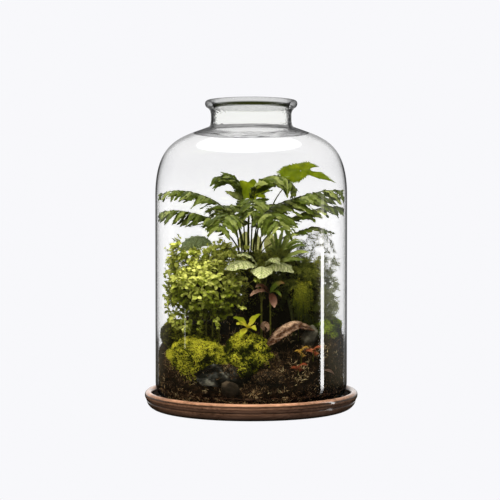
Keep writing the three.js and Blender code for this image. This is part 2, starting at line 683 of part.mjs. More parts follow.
function addDomeLeaf() {
  addLeafyPlant('dome_leaf', FINISH.roughLeaf, {
    roots: [{
      path: [rootedAt(-58, 38), [-58, 38, 125], [-56, 34, 170], [-50, 28, 205.4]], radius: 1.3, steps: 6,
    }],
    leaves: [{
      path: [[-49, 28, 205], [-61, 27, 213], [-76, 25, 211], [-91, 22, 196]],
      width: 38,
      rows: 8,
      fold: -0.35,
      teeth: 0.06,
      facing: [0, -0.35, 1],
    }],
  });
}

function addRosette() {
  const heart = [23, -36, 150];
  const tips = [[5, -38, 158], [-2, -42, 147], [29, -46, 133], [42, -33, 162], [38, -44, 146]];
  const leaves = tips.map(([x, y, z]) => ({
    path: [
      heart,
      [mix(heart[0], x, 0.35), mix(heart[1], y, 0.35), mix(heart[2], z, 0.35) + 4],
      [mix(heart[0], x, 0.7), mix(heart[1], y, 0.7), mix(heart[2], z, 0.7) + 4],
      [x, y, z],
    ],
    width: 9,
    rows: 4,
    fold: 0.2,
    wave: 0.3,
    facing: [0, -0.5, 1],
  }));
  const stem = { path: [rootedAt(24, -36), [24, -36, 100], [24, -37, 128], heart], radius: 1.2, steps: 5 };
  addLeafyPlant('red_rosette', FINISH.redLeaf, { roots: [stem], leaves });
}

function addYellowPlant() {
  const heart = [-4, -54, 108];
  const tips = [[-23, -58, 122], [-19, -66, 114], [12, -58, 126], [-14, -70, 98], [6, -70, 107]];
  const leaves = tips.map(([x, y, z]) => ({
    path: [
      heart,
      [mix(heart[0], x, 0.4), mix(heart[1], y, 0.4), mix(heart[2], z, 0.4) + 2.5],
      [mix(heart[0], x, 0.75), mix(heart[1], y, 0.75), mix(heart[2], z, 0.75) + 2],
      [x, y, z],
    ],
    width: 9,
    rows: 4,
    fold: 0.25,
    facing: [0, -0.6, 1],
  }));
  const stem = { path: [[-4, -54, 86], [-4, -54, 97], heart], radius: 1.2, steps: 3 };
  addLeafyPlant('yellow_plant', FINISH.yellowLeaf, { roots: [stem], leaves });
}

function addFallenLeaves() {
  addLeafyPlant('brown_curl', FINISH.dryLeaf, {
    roots: [{ path: [[17, -50, 84], [17, -50, 92], [17, -50, 105]], radius: 0.9, steps: 3 }],
    leaves: [{
      path: [[17, -50, 104], [14, -51, 110], [18, -53, 113], [21, -55, 108], [19, -57, 104]],
      width: 8,
      rows: 5,
      facing: [0.4, -1, 0.4],
      fold: 0.1,
    }],
  });
  const dried = leafBlade({
    path: [[18.4, -61.8, 85.4], [25, -59, 97], [37, -56, 110], [54, -51, 117], [69, -46, 112], [80, -42, 103]],
    width: 27,
    rows: 9,
    fold: -0.5,
    wave: 0.3,
    facing: [-0.1, -0.35, 1],
  });
  addNode('dried_leaf', dried, FINISH.dryLeaf);
}

const SEEDLINGS = [
  { name: 'seedling_yellow', finish: 'yellowLeaf', foot: [62, -68], height: 20, spread: 9, leaves: 3 },
  { name: 'seedling_brown', finish: 'dryLeaf', foot: [58, -82], height: 17, spread: 9, leaves: 3 },
  { name: 'seedling_red', finish: 'redLeaf', foot: [77, -66], height: 20, spread: 11, leaves: 4 },
];

function addSeedling({ name, finish, foot, height, spread, leaves }, seed) {
  const random = randomSource(seed + 41);
  const base = rootedAt(...foot, 5);
  const top = [foot[0] + 1, foot[1] - 1, groundHeight(...foot) + height];
  const blades = [];
  for (let i = 0; i < leaves; i += 1) {
    const angle = (2 * Math.PI * i) / leaves + random();
    const level = mix(0.55, 1, i / (leaves - 1));
    const start = [
      mix(foot[0], top[0], level),
      mix(foot[1], top[1], level),
      groundHeight(...foot) + height * level - 0.6,
    ];
    const at = (share, lift) => [
      start[0] + spread * share * Math.cos(angle),
      start[1] + spread * share * Math.sin(angle),
      start[2] + lift,
    ];
    blades.push({
      path: [start, at(0.35, 2), at(0.7, 2.6), at(1, 1)],
      width: spread * 0.55,
      rows: 3,
      facing: [0, -0.3, 1],
    });
  }
  const stem = { path: [base, [...foot, groundHeight(...foot) + 3], top], radius: 0.9, steps: 3 };
  addLeafyPlant(name, FINISH[finish], { roots: [stem], leaves: blades });
}

// Bush: a lumpy core whose whole surface is leaf tips, on a few stems, with leaves that stand out of it
const BUSH = {
  centre: [-54, -30, 154],
  core: [90, 58, 70],
  stems: [[-76, -26], [-56, -32], [-40, -24]],
  leaves: 26,
  leafLength: 17,
  leafWidth: 12,
};
const MOTTLED_ROOM = new THREE.Box3(vector(-42, -90, 166), vector(40, -10, 215));

function evenDirection(i, count) {
  const height = 1 - (2 * (i + 0.5)) / count;
  const turn = i * Math.PI * (3 - Math.sqrt(5));
  const reach = Math.sqrt(1 - height * height);
  return vector(reach * Math.cos(turn), reach * Math.sin(turn), height);
}

function smallLeaf(length, width, origin, direction, face) {
  const side = face.clone().cross(direction).normalize();
  const up = direction.clone().cross(side);
  const basis = new THREE.Matrix4().makeBasis(direction, side, up).setPosition(origin);
  return new THREE.OctahedronGeometry(1, 0)
    .scale(length / 2, width / 2, 0.55)
    .translate(length / 2 - 1.5, 0, 0)
    .applyMatrix4(basis);
}

function clearOfStump(point, margin) {
  const axis = stumpAxis(point.z);
  return Math.hypot(point.x - axis.x, point.y - axis.y) > axis.radius * 1.14 + margin;
}

function insideGlass(point, margin) {
  return Math.hypot(point.x, point.y) < INSIDE_RADIUS * Math.cos(Math.PI / SIDES) - margin;
}

function addBush() {
  const random = randomSource(2024);
  const centre = vector(...BUSH.centre);
  const core = withTips(lump({
    centre: BUSH.centre, size: BUSH.core, detail: 3, roughness: 0.07, frequency: 3.6, seed: 21,
  }), (middle, normal) => {
    const lean = vector(random() - 0.5, random() - 0.5, random() - 0.4).multiplyScalar(0.5);
    return middle.addScaledVector(normal.clone().add(lean), mix(6, 10, random()));
  });
  const solids = [toSolid(core)];
  for (let i = 0; i < BUSH.leaves; i += 1) {
    const direction = evenDirection(i, BUSH.leaves);
    const half = vector(...BUSH.core).multiplyScalar(0.5);
    const origin = centre.clone().add(direction.clone().multiply(half));
    const aim = direction.clone().add(vector(random() - 0.5, random() - 0.5, random() - 0.15)).normalize();
    const face = vector(random() - 0.5, random() - 0.5, 1).addScaledVector(direction, 0.3);
    const length = BUSH.leafLength * mix(0.8, 1.2, random());
    const tip = origin.clone().addScaledVector(aim, length);
    if (!clearOfStump(tip, 3) || !insideGlass(tip, 3) || MOTTLED_ROOM.containsPoint(tip)) continue;
    solids.push(toSolid(smallLeaf(length, BUSH.leafWidth * mix(0.8, 1.2, random()), origin, aim, face)));
  }
  BUSH.stems.forEach(([x, y]) => {
    solids.push(rootedStem({ path: [rootedAt(x, y), [x, y, 112], [x, y, 140]], radius: 1.8, steps: 3 }));
  });
  addNode('bush', joined(solids), FINISH.bushLeaf);
}

// Feathery plant: a slim core that bristles with needles, and arching sprays of fine leaflets
const SPRAYS = [
  { name: 'feather_arch', pairs: 13, leaflet: 15, bladeFrom: 0.42, droop: 0.5, facing: [0.2, -0.4, 1], path: [
    [70, 44, 96], [70, 44, 130], [66, 40, 185], [72, 36, 212],
    [88, 30, 218], [101, 24, 209], [104, 18, 196]] },
  { name: 'feather_side', pairs: 12, leaflet: 11, bladeFrom: 0.3, droop: 0.3, facing: [-0.5, -1, 0.4], path: [
    [93, 36, 96], [93, 36, 120], [96, 32, 150], [100, 23, 176], [105, 12, 186], [108, 2, 180]] },
  { name: 'feather_low', pairs: 9, leaflet: 11, bladeFrom: 0.32, droop: 0.4, facing: [-0.6, -1, 0.4], path: [
    [97, -16, 92], [97, -16, 112], [99, -17, 132], [102, -20, 150], [106, -25, 160]] },
];

function addSpray(spray) {
  const stem = rootedStem({ path: spray.path, radius: 1, steps: 5, until: spray.bladeFrom + 0.03 });
  addNode(spray.name, stem.add(frondBlade(spray)), FINISH.feather);
}

function addFeatherBody() {
  const random = randomSource(77);
  const core = withTips(lump({
    centre: [71, 9, 150], size: [33, 30, 58], detail: 2, roughness: 0.1, frequency: 3.4, seed: 31,
  }), (middle, normal) => {
    const lean = vector(random() - 0.5, random() - 0.5, random() - 0.9).multiplyScalar(0.28);
    return middle.addScaledVector(normal.clone().add(lean), mix(7, 12, random()));
  });
  const stem = rootedStem({ path: [rootedAt(80, 12), [80, 12, 115], [77, 11, 140]], radius: 2, steps: 3 });
  addNode('feather_body', toSolid(core).add(stem), FINISH.feather);
}

// Hanging tuft: a small bright growth on a thin stem, with its needles falling
function addHangingTuft() {
  const random = randomSource(99);
  const core = withTips(lump({
    centre: [63, -33, 146], size: [14, 12, 22], detail: 1, roughness: 0.1, frequency: 3, seed: 41,
  }), (middle, normal) => (
    middle.addScaledVector(vector(normal.x, normal.y, 0.5 * normal.z - 0.6), mix(7, 13, random()))
  ));
  const stem = rootedStem({
    path: [rootedAt(59, -30), [59, -30, 112], [60, -31, 130], [63, -33, 150]], radius: 1.2, steps: 4,
  });
  addNode('hanging_tuft', toSolid(core).add(stem), FINISH.feathery);
}

// Build the plants first, because their roots make the holes in the ground pieces
addFronds();
addLobedLeaves();
addStrapPlant();
addMottledPlant();
addPaleLeaves();
addDomeLeaf();
addRosette();
addYellowPlant();
addFallenLeaves();
SEEDLINGS.forEach(addSeedling);
addBush();
addFeatherBody();
SPRAYS.forEach(addSpray);
addHangingTuft();

function withRootHoles(solid) {
  return rootHoles.reduce((rest, hole) => rest.subtract(hole), solid);
}

function addGround() {
  const room = roomInGlass();
  const roomForMoss = room.intersect(aboveGround(SEAT_GAP));
  const pockets = ROCKS.map((rock) => toSolid(lump({ ...rock, grow: SEAT_GAP })));
  const stumpPocket = toSolid(stumpGeometry(STUMP.from - SEAT_GAP, SEAT_GAP));
  let soil = room.subtract(aboveGround(0)).subtract(stumpPocket);
  pockets.forEach((pocket) => { soil = soil.subtract(pocket); });
  addNode('soil', withRootHoles(soil), FINISH.soil);
  ROCKS.forEach((rock) => addNode(rock.name, toSolid(lump(rock)), FINISH[rock.finish]));
  addNode('stump', withRootHoles(toSolid(stumpGeometry(STUMP.from, 0))), FINISH.bark);
  const taken = [...pockets, stumpPocket];
  CUSHIONS.forEach((cushion) => {
    let solid = toSolid(cushionLump(cushion, 0)).intersect(roomForMoss);
    taken.forEach((other) => { solid = solid.subtract(other); });
    addNode(cushion.name, withRootHoles(solid), FINISH[cushion.finish]);
    taken.push(toSolid(cushionLump(cushion, SEAT_GAP)));
  });
}

addGround();
addNode('tray', toSolid(turned(trayProfile())), FINISH.wood);
addNode('jar', toSolid(turned(jarProfile())), FINISH.glass);

export default terrarium;
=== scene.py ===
import math

import bmesh
import bpy
import numpy as np
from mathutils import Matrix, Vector, noise


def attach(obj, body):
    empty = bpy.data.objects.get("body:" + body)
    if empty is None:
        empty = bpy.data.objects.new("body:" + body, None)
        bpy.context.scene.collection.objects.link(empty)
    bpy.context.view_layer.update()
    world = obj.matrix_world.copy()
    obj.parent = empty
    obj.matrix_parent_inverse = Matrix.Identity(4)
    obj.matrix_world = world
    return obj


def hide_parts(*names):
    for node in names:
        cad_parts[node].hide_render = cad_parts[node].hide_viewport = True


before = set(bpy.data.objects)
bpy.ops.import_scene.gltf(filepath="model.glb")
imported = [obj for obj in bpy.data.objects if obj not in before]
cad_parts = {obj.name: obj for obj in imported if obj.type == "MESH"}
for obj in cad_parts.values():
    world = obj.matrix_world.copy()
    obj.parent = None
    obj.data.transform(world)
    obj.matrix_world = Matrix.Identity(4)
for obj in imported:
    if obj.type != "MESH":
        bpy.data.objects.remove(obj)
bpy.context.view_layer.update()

# Sizes in millimetres, as in the CAD part
JAR_RADIUS = 120.0
WALL = 3.0
JAR_BASE = 9.3
CORNER = 24.0
TRAY_RADIUS = 133.5
TRAY_HEIGHT = 23.0
RECESS_FLOOR = 9.0
SHOULDER_FOOT = 268.0
NECK_FOOT = (53.5, 354.2)
GLASS_INSIDE = 116.4
SPARE = 0.3
SOIL_BOTTOM = 12.8
SOIL_RADIUS = 115.8
MOSS_RADIUS = 111.5
CROWN = 183.0
UP = np.array([0.0, 0.0, 1.0])


# Numbers
def unit(v):
    v = np.asarray(v, float)
    return v / np.maximum(np.linalg.norm(v, axis=-1, keepdims=True), 1e-9)


def smooth_step(low, high, value):
    t = np.clip((value - low) / (high - low), 0, 1)
    return t * t * (3 - 2 * t)


def mix(a, b, t):
    return a + (b - a) * t


def srgb(code):
    """The linear colour of a #rrggbb code"""
    parts = [int(code[i:i + 2], 16) / 255 for i in (1, 3, 5)]
    return tuple(p / 12.92 if p <= 0.04045 else ((p + 0.055) / 1.055) ** 2.4 for p in parts) + (1.0,)


def linear(color):
    """The linear colour of a #rrggbb code, a grey level or three linear values"""
    if isinstance(color, str):
        return srgb(color)
    return (*color, 1.0) if isinstance(color, tuple) else (color, color, color, 1.0)


def tones(rng, mean, spread, count=None):
    return np.clip(rng.normal(mean, spread, count), 0, 1)


def bumps(points, scale, seed, octaves):
    """Smooth noise between about -1 and 1 for each point"""
    out = np.empty(len(points))
    shift = Vector((seed * 13.1, seed * 7.7, seed * 3.3))
    for i, p in enumerate(points):
        out[i] = noise.fractal(Vector(p) * scale + shift, 1.0, 2.0, octaves)
    return out


def run_along(path, count):
    """Points evenly spaced on a smooth line through the path's points"""
    p = np.asarray(path, float)
    ends = np.vstack([2 * p[0] - p[1], p, 2 * p[-1] - p[-2]])
    t = np.linspace(0, 1, 20, endpoint=False)[:, None]
    parts = []
    for i in range(1, len(ends) - 2):
        a, b, c, d = ends[i - 1:i + 3]
        parts.append(0.5 * (2 * b + (c - a) * t + (2 * a - 5 * b + 4 * c - d) * t ** 2
                            + (3 * b - a - 3 * c + d) * t ** 3))
    dense = np.vstack([*parts, p[-1:]])
    reach = np.concatenate([[0], np.cumsum(np.linalg.norm(np.diff(dense, axis=0), axis=1))])
    at = np.linspace(0, reach[-1], count)
    return np.stack([np.interp(at, reach, dense[:, k]) for k in range(dense.shape[1])], 1)


def tangents(points):
    return unit(np.gradient(points, axis=0))


def frames(along, face):
    """Axes for each row: along, sideways and up, as the columns of a matrix"""
    along = unit(along)
    side = unit(np.cross(face, along))
    return np.stack([along, side, np.cross(along, side)], axis=2)


def turned_frames(along, rng):
    """Axes along each direction, turned about it at random"""
    return frames(along, unit(rng.normal(size=along.shape)))


def round_axis(angles, radius, height):
    """Points at an angle, a distance from the axis and a height"""
    return np.stack(np.broadcast_arrays(np.cos(angles) * radius, np.sin(angles) * radius, height), -1)


# Growth: the points and faces of one piece, with a tone for each leaf and places along and across it
class Growth:
    def __init__(self):
        self.points, self.faces, self.slots = [], [], []
        self.values = {"tone": [], "span": [], "rim": []}
        self.count = 0

    def add(self, points, faces, tone=0.5, span=0.0, rim=0.0, slot=0):
        points = np.asarray(points, float).reshape(-1, 3)
        n = len(points)
        self.points.append(points)
        faces = np.asarray(faces, int)
        self.faces.append(faces + self.count)
        self.slots.append(np.full(len(faces), slot))
        for key, value in (("tone", tone), ("span", span), ("rim", rim)):
            self.values[key].append(np.broadcast_to(np.asarray(value, float).ravel(), (n,)))
        self.count += n

    def grid(self, points, tone=0.5, span=0.0, rim=0.0, slot=0, around=False):
        """A sheet of rows and columns, closed round its columns if around is set"""
        rows, cols = points.shape[:2]
        index = np.arange(rows * cols).reshape(rows, cols)
        after = np.roll(index, -1, axis=1) if around else index[:, 1:]
        first = index if around else index[:, :-1]
        faces = np.stack([first[:-1], after[:-1], after[1:], first[1:]], -1).reshape(-1, 4)
        self.add(points, faces, tone, np.broadcast_to(span, (rows, cols)),
                 np.broadcast_to(rim, (rows, cols)), slot)

    def scatter(self, template, origins, bases, scales, tones, slot=0):
        """Copies of a template, each with its own place, axes, size and tone"""
        points, faces, span, rim = template
        n, v = len(origins), len(points)
        if n == 0:
            return
        scales = np.broadcast_to(np.asarray(scales, float).reshape(n, -1), (n, 3))
        placed = np.einsum("nij,vj->nvi", bases * scales[:, None, :], points) + origins[:, None, :]
        offsets = (np.arange(n) * v)[:, None, None]
        self.add(placed, (faces[None] + offsets).reshape(-1, faces.shape[1]),
                 np.repeat(tones, v), np.tile(span, n), np.tile(rim, n), slot)

def keep_inside(points):
    """Draw what passes the wall or the round foot of the jar back to just inside the glass"""
    inner = CORNER - WALL - SPARE
    height = np.maximum(points[:, 2], JAR_BASE + CORNER - inner)
    depth = np.clip(JAR_BASE + CORNER - height, 0, inner)
    limit = JAR_RADIUS - CORNER + np.sqrt(inner ** 2 - depth ** 2)
    share = np.minimum(1, limit / np.maximum(np.hypot(points[:, 0], points[:, 1]), 1e-6))
    return np.column_stack([points[:, :2] * share[:, None], height])


def make_piece(name, growth, materials, added=False):
    """One object of the scene; it stands for the node of its name unless it is an added piece"""
    points = np.concatenate(growth.points)
    if name not in ("jar", "tray"):
        points = keep_inside(points)
    points = points / 1000
    sizes = np.concatenate([np.full(len(f), f.shape[1]) for f in growth.faces])
    corners = np.concatenate([f.ravel() for f in growth.faces])
    mesh = bpy.data.meshes.new(name)
    mesh.vertices.add(len(points))
    mesh.vertices.foreach_set("co", points.astype(np.float32).ravel())
    mesh.loops.add(len(corners))
    mesh.loops.foreach_set("vertex_index", corners.astype(np.int32))
    mesh.polygons.add(len(sizes))
    starts = np.concatenate([[0], np.cumsum(sizes)[:-1]]).astype(np.int32)
    mesh.polygons.foreach_set("loop_start", starts)
    mesh.polygons.foreach_set("material_index", np.concatenate(growth.slots).astype(np.int32))
    mesh.polygons.foreach_set("use_smooth", np.full(len(sizes), True))
    mesh.update(calc_edges=True)
    for key, value in growth.values.items():
        layer = mesh.attributes.new(key, "FLOAT", "POINT")
        layer.data.foreach_set("value", np.concatenate(value).astype(np.float32))
    for material in materials:
        mesh.materials.append(material)
    piece = bpy.data.objects.new(name, mesh)
    bpy.context.scene.collection.objects.link(piece)
    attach(piece, "root")
    if not added:
        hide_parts(name)


# Shapes that the plants share
def stem(growth, path, radius, tip, sides=6, count=14, tone=0.5, slot=0):
    """A tapering tube along a path"""
    line = run_along(path, count)
    along = tangents(line)
    face = np.where(np.abs(along[:, 2:]) > 0.8, [[0.0, 1.0, 0.0]], [[0.0, 0.0, 1.0]])
    side = unit(np.cross(face, along))
    for i in range(1, count):
        if side[i] @ side[i - 1] < 0:
            side[i] = -side[i]
    above = np.cross(along, side)
    size = np.linspace(radius, tip, count)
    angles = np.linspace(0, 2 * math.pi, sides, endpoint=False)
    ring = (np.cos(angles)[None, :, None] * side[:, None] + np.sin(angles)[None, :, None] * above[:, None])
    growth.grid(line[:, None] + ring * size[:, None, None], tone,
                np.linspace(0, 1, count)[:, None], 0.0, slot, around=True)
    return line


def blade(growth, line, face, width, fold=0.15, curl=0.0, wave=0.0, waves=5.0, cols=5, teeth=0.0,
          widest=0.42, base=0.08, tone=0.5, slot=0, phase=0.0, lobes=0.0, shade=0.0, crumple=0.0,
          blunt=0.8):
    """A leaf along a line: halves folded up or down, the margin waved and toothed"""
    line = np.asarray(line, float)
    rows = len(line)
    axes = frames(tangents(line), np.broadcast_to(face, line.shape))
    share = np.linspace(0, 1, rows)
    rising = np.sin(0.5 * math.pi * np.clip(share / widest, 0, 1)) ** 0.75
    falling = np.cos(0.5 * math.pi * np.clip((share - widest) / (1 - widest), 0, 1)) ** blunt
    half = width / 2 * np.maximum(np.minimum(rising, falling), base * (1 - share))
    if teeth:
        half = half * (1 + teeth * np.where(np.arange(rows) % 2, 1.0, -1.0))
    if lobes:
        half = half * (1 + 0.17 * np.cos(2 * math.pi * lobes * share + phase))
    across = np.linspace(-1, 1, cols)
    lift = (np.abs(across)[None] * fold + across[None] ** 2 * curl) * half[:, None]
    lift = lift + wave * np.abs(across)[None] ** 2 * np.sin(
        2 * math.pi * waves * share[:, None] + 1.7 * np.sign(across)[None] + phase)
    points = (line[:, None] + axes[:, None, :, 1] * (across[None] * half[:, None])[..., None]
              + axes[:, None, :, 2] * lift[..., None])
    if crumple:
        rough = bumps(points.reshape(-1, 3), 0.3, 2, 3).reshape(points.shape[:2])
        points = points + axes[:, None, :, 2] * (crumple * rough)[..., None]
    if shade:
        tone = tone + shade * bumps(points.reshape(-1, 3), 0.16, 3, 3)
    growth.grid(points, tone, share[:, None], np.abs(across)[None], slot)


def leaf_template(rows, cols, width, fold, sag, widest):
    """A small leaf one unit long, for many copies"""
    sheet = Growth()
    t = np.linspace(0, 1, rows)
    line = np.stack([t, 0 * t, -sag * t ** 2], 1)
    blade(sheet, line, UP, width, fold, cols=cols, widest=widest, base=0.1)
    return (np.concatenate(sheet.points), np.concatenate(sheet.faces),
            np.concatenate(sheet.values["span"]), np.concatenate(sheet.values["rim"]))


def needle_template(width=0.07, bend=0.15):
    """A flat needle one unit long, bent once"""
    points = np.array([[0, -width / 2, 0], [0, width / 2, 0], [0.55, width / 2, -0.2 * bend],
                       [0.55, -width / 2, -0.2 * bend], [1, 0, -bend]])
    return points, np.array([[0, 1, 2], [0, 2, 3], [3, 2, 4]]), np.array([0, 0, 0.5, 0.5, 1]), np.zeros(5)


def sliver_template():
    """A needle one unit long as a single face, for the finest foliage"""
    width = 0.13
    points = np.array([[0, -width / 2, 0], [0, width / 2, 0], [1, 0, -0.1]])
    return points, np.array([[0, 1, 2]]), np.array([0, 0, 1.0]), np.zeros(3)


def shoot_template(width):
    """A moss shoot: pointed leaves in two whorls round an axis that points along x"""
    leaves = 6
    points, faces, span = [], [], []
    for i in range(leaves):
        turn = 2 * math.pi * i / leaves * 1.618
        rise = 0.35 if i % 2 else 0.7
        outward = np.array([0, math.cos(turn), math.sin(turn)])
        across = np.array([0, -math.sin(turn), math.cos(turn)])
        foot = np.array([0.1 + 0.3 * rise, 0, 0])
        tip = foot + np.array([rise, 0, 0]) + (1.05 - rise) * outward
        at = len(points)
        points += [foot - across * width / 2, foot + across * width / 2, tip]
        faces.append([at, at + 1, at + 2])
        span += [0.15, 0.15, 1.0]
    return np.array(points), np.array(faces), np.array(span), np.zeros(len(points))


def ball(detail):
    """Points and triangles of a round ball"""
    mesh = bpy.data.meshes.new("ball")
    work = bmesh.new()
    bmesh.ops.create_icosphere(work, subdivisions=detail, radius=1.0)
    work.to_mesh(mesh)
    work.free()
    points = np.array([v.co[:] for v in mesh.vertices])
    faces = np.array([p.vertices[:] for p in mesh.polygons])
    bpy.data.meshes.remove(mesh)
    return points, faces


def surface_sample(points, faces, count, rng, share):
    """Random places on a surface, with their normals; share says how densely each place is covered"""
    corner = points[faces[:, :3]]
    cross = np.cross(corner[:, 1] - corner[:, 0], corner[:, 2] - corner[:, 0])
    area = np.linalg.norm(cross, axis=1) * share(corner.mean(1))
    pick = rng.choice(len(faces), count, p=area / area.sum())
    a, b = rng.random((2, count))
    flip = a + b > 1
    a, b = np.where(flip, 1 - a, a), np.where(flip, 1 - b, b)
    c = corner[pick]
    at = c[:, 0] + a[:, None] * (c[:, 1] - c[:, 0]) + b[:, None] * (c[:, 2] - c[:, 0])
    return at, unit(cross[pick])


def vertex_normals(points, faces):
    normal = np.zeros_like(points)
    cross = np.cross(points[faces[:, 1]] - points[faces[:, 0]], points[faces[:, 2]] - points[faces[:, 0]])
    for k in range(faces.shape[1]):
        np.add.at(normal, faces[:, k], cross)
    return unit(normal)


def inside_glass(points, margin):
    return np.hypot(points[:, 0], points[:, 1]) < GLASS_INSIDE - margin


def hold_inside(line, margin):
    """Draw a line's points in towards the axis where they come too near the glass"""
    reach = np.maximum(np.hypot(line[:, 0], line[:, 1]), 1)
    line[:, :2] *= np.minimum(1, (GLASS_INSIDE - margin) / reach)[:, None]


def ground_height(x, y):
    rise = smooth_step(-125, 15, y + 0.15 * x)
    fall = 26 * smooth_step(76, JAR_RADIUS, -x) + 12 * smooth_step(96, JAR_RADIUS, x)
    bank = 30 * np.exp(-((x - 4) / 56) ** 2 - ((y - 58) / 40) ** 2)
    return mix(24, 104, rise) - fall * rise + bank + 1.4 * np.sin(x / 9 + 0.7) * np.sin(y / 8 + 1.9)


# Materials
class NodeTree:
    """The nodes of one material or of the world, with short ways to add and join them"""
    def __init__(self, tree):
        self.nodes, self.links = tree.nodes, tree.links
        self.nodes.clear()

    def add(self, kind, inputs=None, **settings):
        made = self.nodes.new("ShaderNode" + kind)
        for key, value in settings.items():
            setattr(made, key, value)
        for key, value in (inputs or {}).items():
            if isinstance(value, bpy.types.NodeSocket):
                self.links.new(value, made.inputs[key])
            else:
                made.inputs[key].default_value = value
        return made

    def math(self, operation, *values, clamp=False):
        return self.add("Math", dict(enumerate(values)), operation=operation, use_clamp=clamp).outputs[0]

    def ramp(self, source, stops):
        """Colours by place, each a code, a grey level or three linear values"""
        made = self.add("ValToRGB", {0: source})
        elements = made.color_ramp.elements
        while len(elements) < len(stops):
            elements.new(0.5)
        for element, (place, color) in zip(elements, stops):
            element.position = place
            element.color = linear(color)
        return made.outputs[0]

    def mix(self, first, second, factor, mode="MIX"):
        made = self.add("Mix", {"Factor": factor, 6: first, 7: second}, data_type="RGBA", blend_type=mode)
        return made.outputs[2]

    def multiply(self, first, second):
        return self.mix(first, second, 1.0, "MULTIPLY")

    def texture(self, kind, scale, stretch=(1, 1, 1), **inputs):
        """A texture in the object's own coordinates"""
        coords = self.add("TexCoord").outputs["Object"]
        place = self.add("Mapping", {"Vector": coords, "Scale": stretch}).outputs[0]
        return self.add(kind, {"Vector": place, "Scale": scale, **inputs})

    def noise(self, scale, stretch=(1, 1, 1), **inputs):
        return self.texture("TexNoise", scale, stretch, **inputs).outputs["Fac"]

    def attribute(self, name):
        return self.add("Attribute", attribute_name=name).outputs["Fac"]

    def bump(self, height, strength, distance):
        return self.add("Bump", {"Height": height, "Strength": strength, "Distance": distance}).outputs[0]

    def facing(self):
        """0 where the surface is faced, 1 where it is seen along its length"""
        return self.add("LayerWeight", {"Blend": 0.5}).outputs["Facing"]

    def length(self, vector):
        return self.add("VectorMath", {0: vector}, operation="LENGTH").outputs["Value"]

    def axes(self, space="Object"):
        return self.add("SeparateXYZ", {0: self.add("TexCoord").outputs[space]}).outputs

    def surface(self, shader, kind="OutputMaterial"):
        self.add(kind, {"Surface": shader.outputs[0]})

    def clear_glass(self, tint, gloss, roughness, normal):
        """What lies behind, tinted, with a shine over it"""
        clear = self.add("BsdfTransparent", {"Color": tint})
        shine = self.add("BsdfGlossy", {"Color": gloss, "Roughness": roughness, "Normal": normal})
        self.surface(self.add("AddShader", {0: clear.outputs[0], 1: shine.outputs[0]}))


def new_material(name):
    material = bpy.data.materials.new(name)
    material.use_nodes = True
    return material, NodeTree(material.node_tree)


def leaf_material(name, dark, middle, light, glow, roughness, through, veins, slope=0.6,
                  vein_color=None, vein_strength=0.3, mottle=0.0, mottle_color=None, grain=260.0, sheen=0.5,
                  bump=0.35):
    """Leaf: a tone for each leaf, side veins and midrib, fine blisters, light that shines through"""
    material, tree = new_material(name)
    blisters = tree.noise(grain, Detail=4.0)
    tone = tree.math("ADD", tree.math("MULTIPLY", tree.attribute("tone"), 0.8),
                     tree.math("MULTIPLY", blisters, 0.3), clamp=True)
    color = tree.ramp(tone, [(0.12, dark), (0.5, middle), (0.92, light)])
    rim = tree.attribute("rim")
    along = tree.math("SUBTRACT", tree.math("MULTIPLY", tree.attribute("span"), veins),
                      tree.math("MULTIPLY", rim, slope * 2))
    beat = tree.math("PINGPONG", along, 0.5)
    side_vein = tree.math("SUBTRACT", 1.0, tree.math("MULTIPLY", beat, 7.0), clamp=True)
    midrib = tree.math("SUBTRACT", 1.0, tree.math("MULTIPLY", rim, 9.0), clamp=True)
    lines = tree.math("MAXIMUM", side_vein, midrib)
    if mottle:
        cells = tree.texture("TexVoronoi", mottle)
        cells.feature = "DISTANCE_TO_EDGE"
        spots = tree.ramp(cells.outputs["Distance"], [(0.02, 0.0), (0.2, 1.0)])
        color = tree.mix(srgb(mottle_color), color, spots)
    color = tree.mix(color, srgb(vein_color or light), tree.math("MULTIPLY", lines, vein_strength))
    relief = tree.bump(tree.math("ADD", blisters, tree.math("MULTIPLY", lines, -0.8)), bump, 0.0006)
    uneven = tree.math("ADD", tree.math("MULTIPLY", blisters, 0.25), roughness - 0.12)
    body = tree.add("BsdfPrincipled", {
        "Base Color": color, "Normal": relief, "Roughness": uneven, "Specular IOR Level": sheen})
    inner = tree.add("BsdfTranslucent", {
        "Color": tree.mix(srgb(glow), color, 0.5, "MULTIPLY"), "Normal": relief})
    tree.surface(tree.add("MixShader", {0: through, 1: body.outputs[0], 2: inner.outputs[0]}))
    return material


def rough_material(name, stops, scale, bump, detail=8.0, distance=0.0015, roughness=(0.75, 1.0),
                   stretch=(1, 1, 1), by_tone=0.0, sheen=0.3, distortion=0.0):
    """Stone, soil, bark and stems: colour by layered noise, and by the tone of each part"""
    material, tree = new_material(name)
    broad = tree.noise(scale, stretch, Detail=detail, Distortion=distortion)
    fine = tree.noise(scale * 6, stretch, Detail=4.0)
    value = broad
    if by_tone:
        both = {"Factor": by_tone, 2: broad, 3: tree.attribute("tone")}
        value = tree.add("Mix", both, data_type="FLOAT").outputs[0]
    uneven = tree.add("MapRange", {"Value": fine, "To Min": roughness[0], "To Max": roughness[1]})
    body = tree.add("BsdfPrincipled", {
        "Base Color": tree.ramp(value, stops), "Roughness": uneven.outputs[0], "Specular IOR Level": sheen,
        "Normal": tree.bump(tree.math("ADD", broad, tree.math("MULTIPLY", fine, 0.5)), bump, distance)})
    tree.surface(body)
    return material


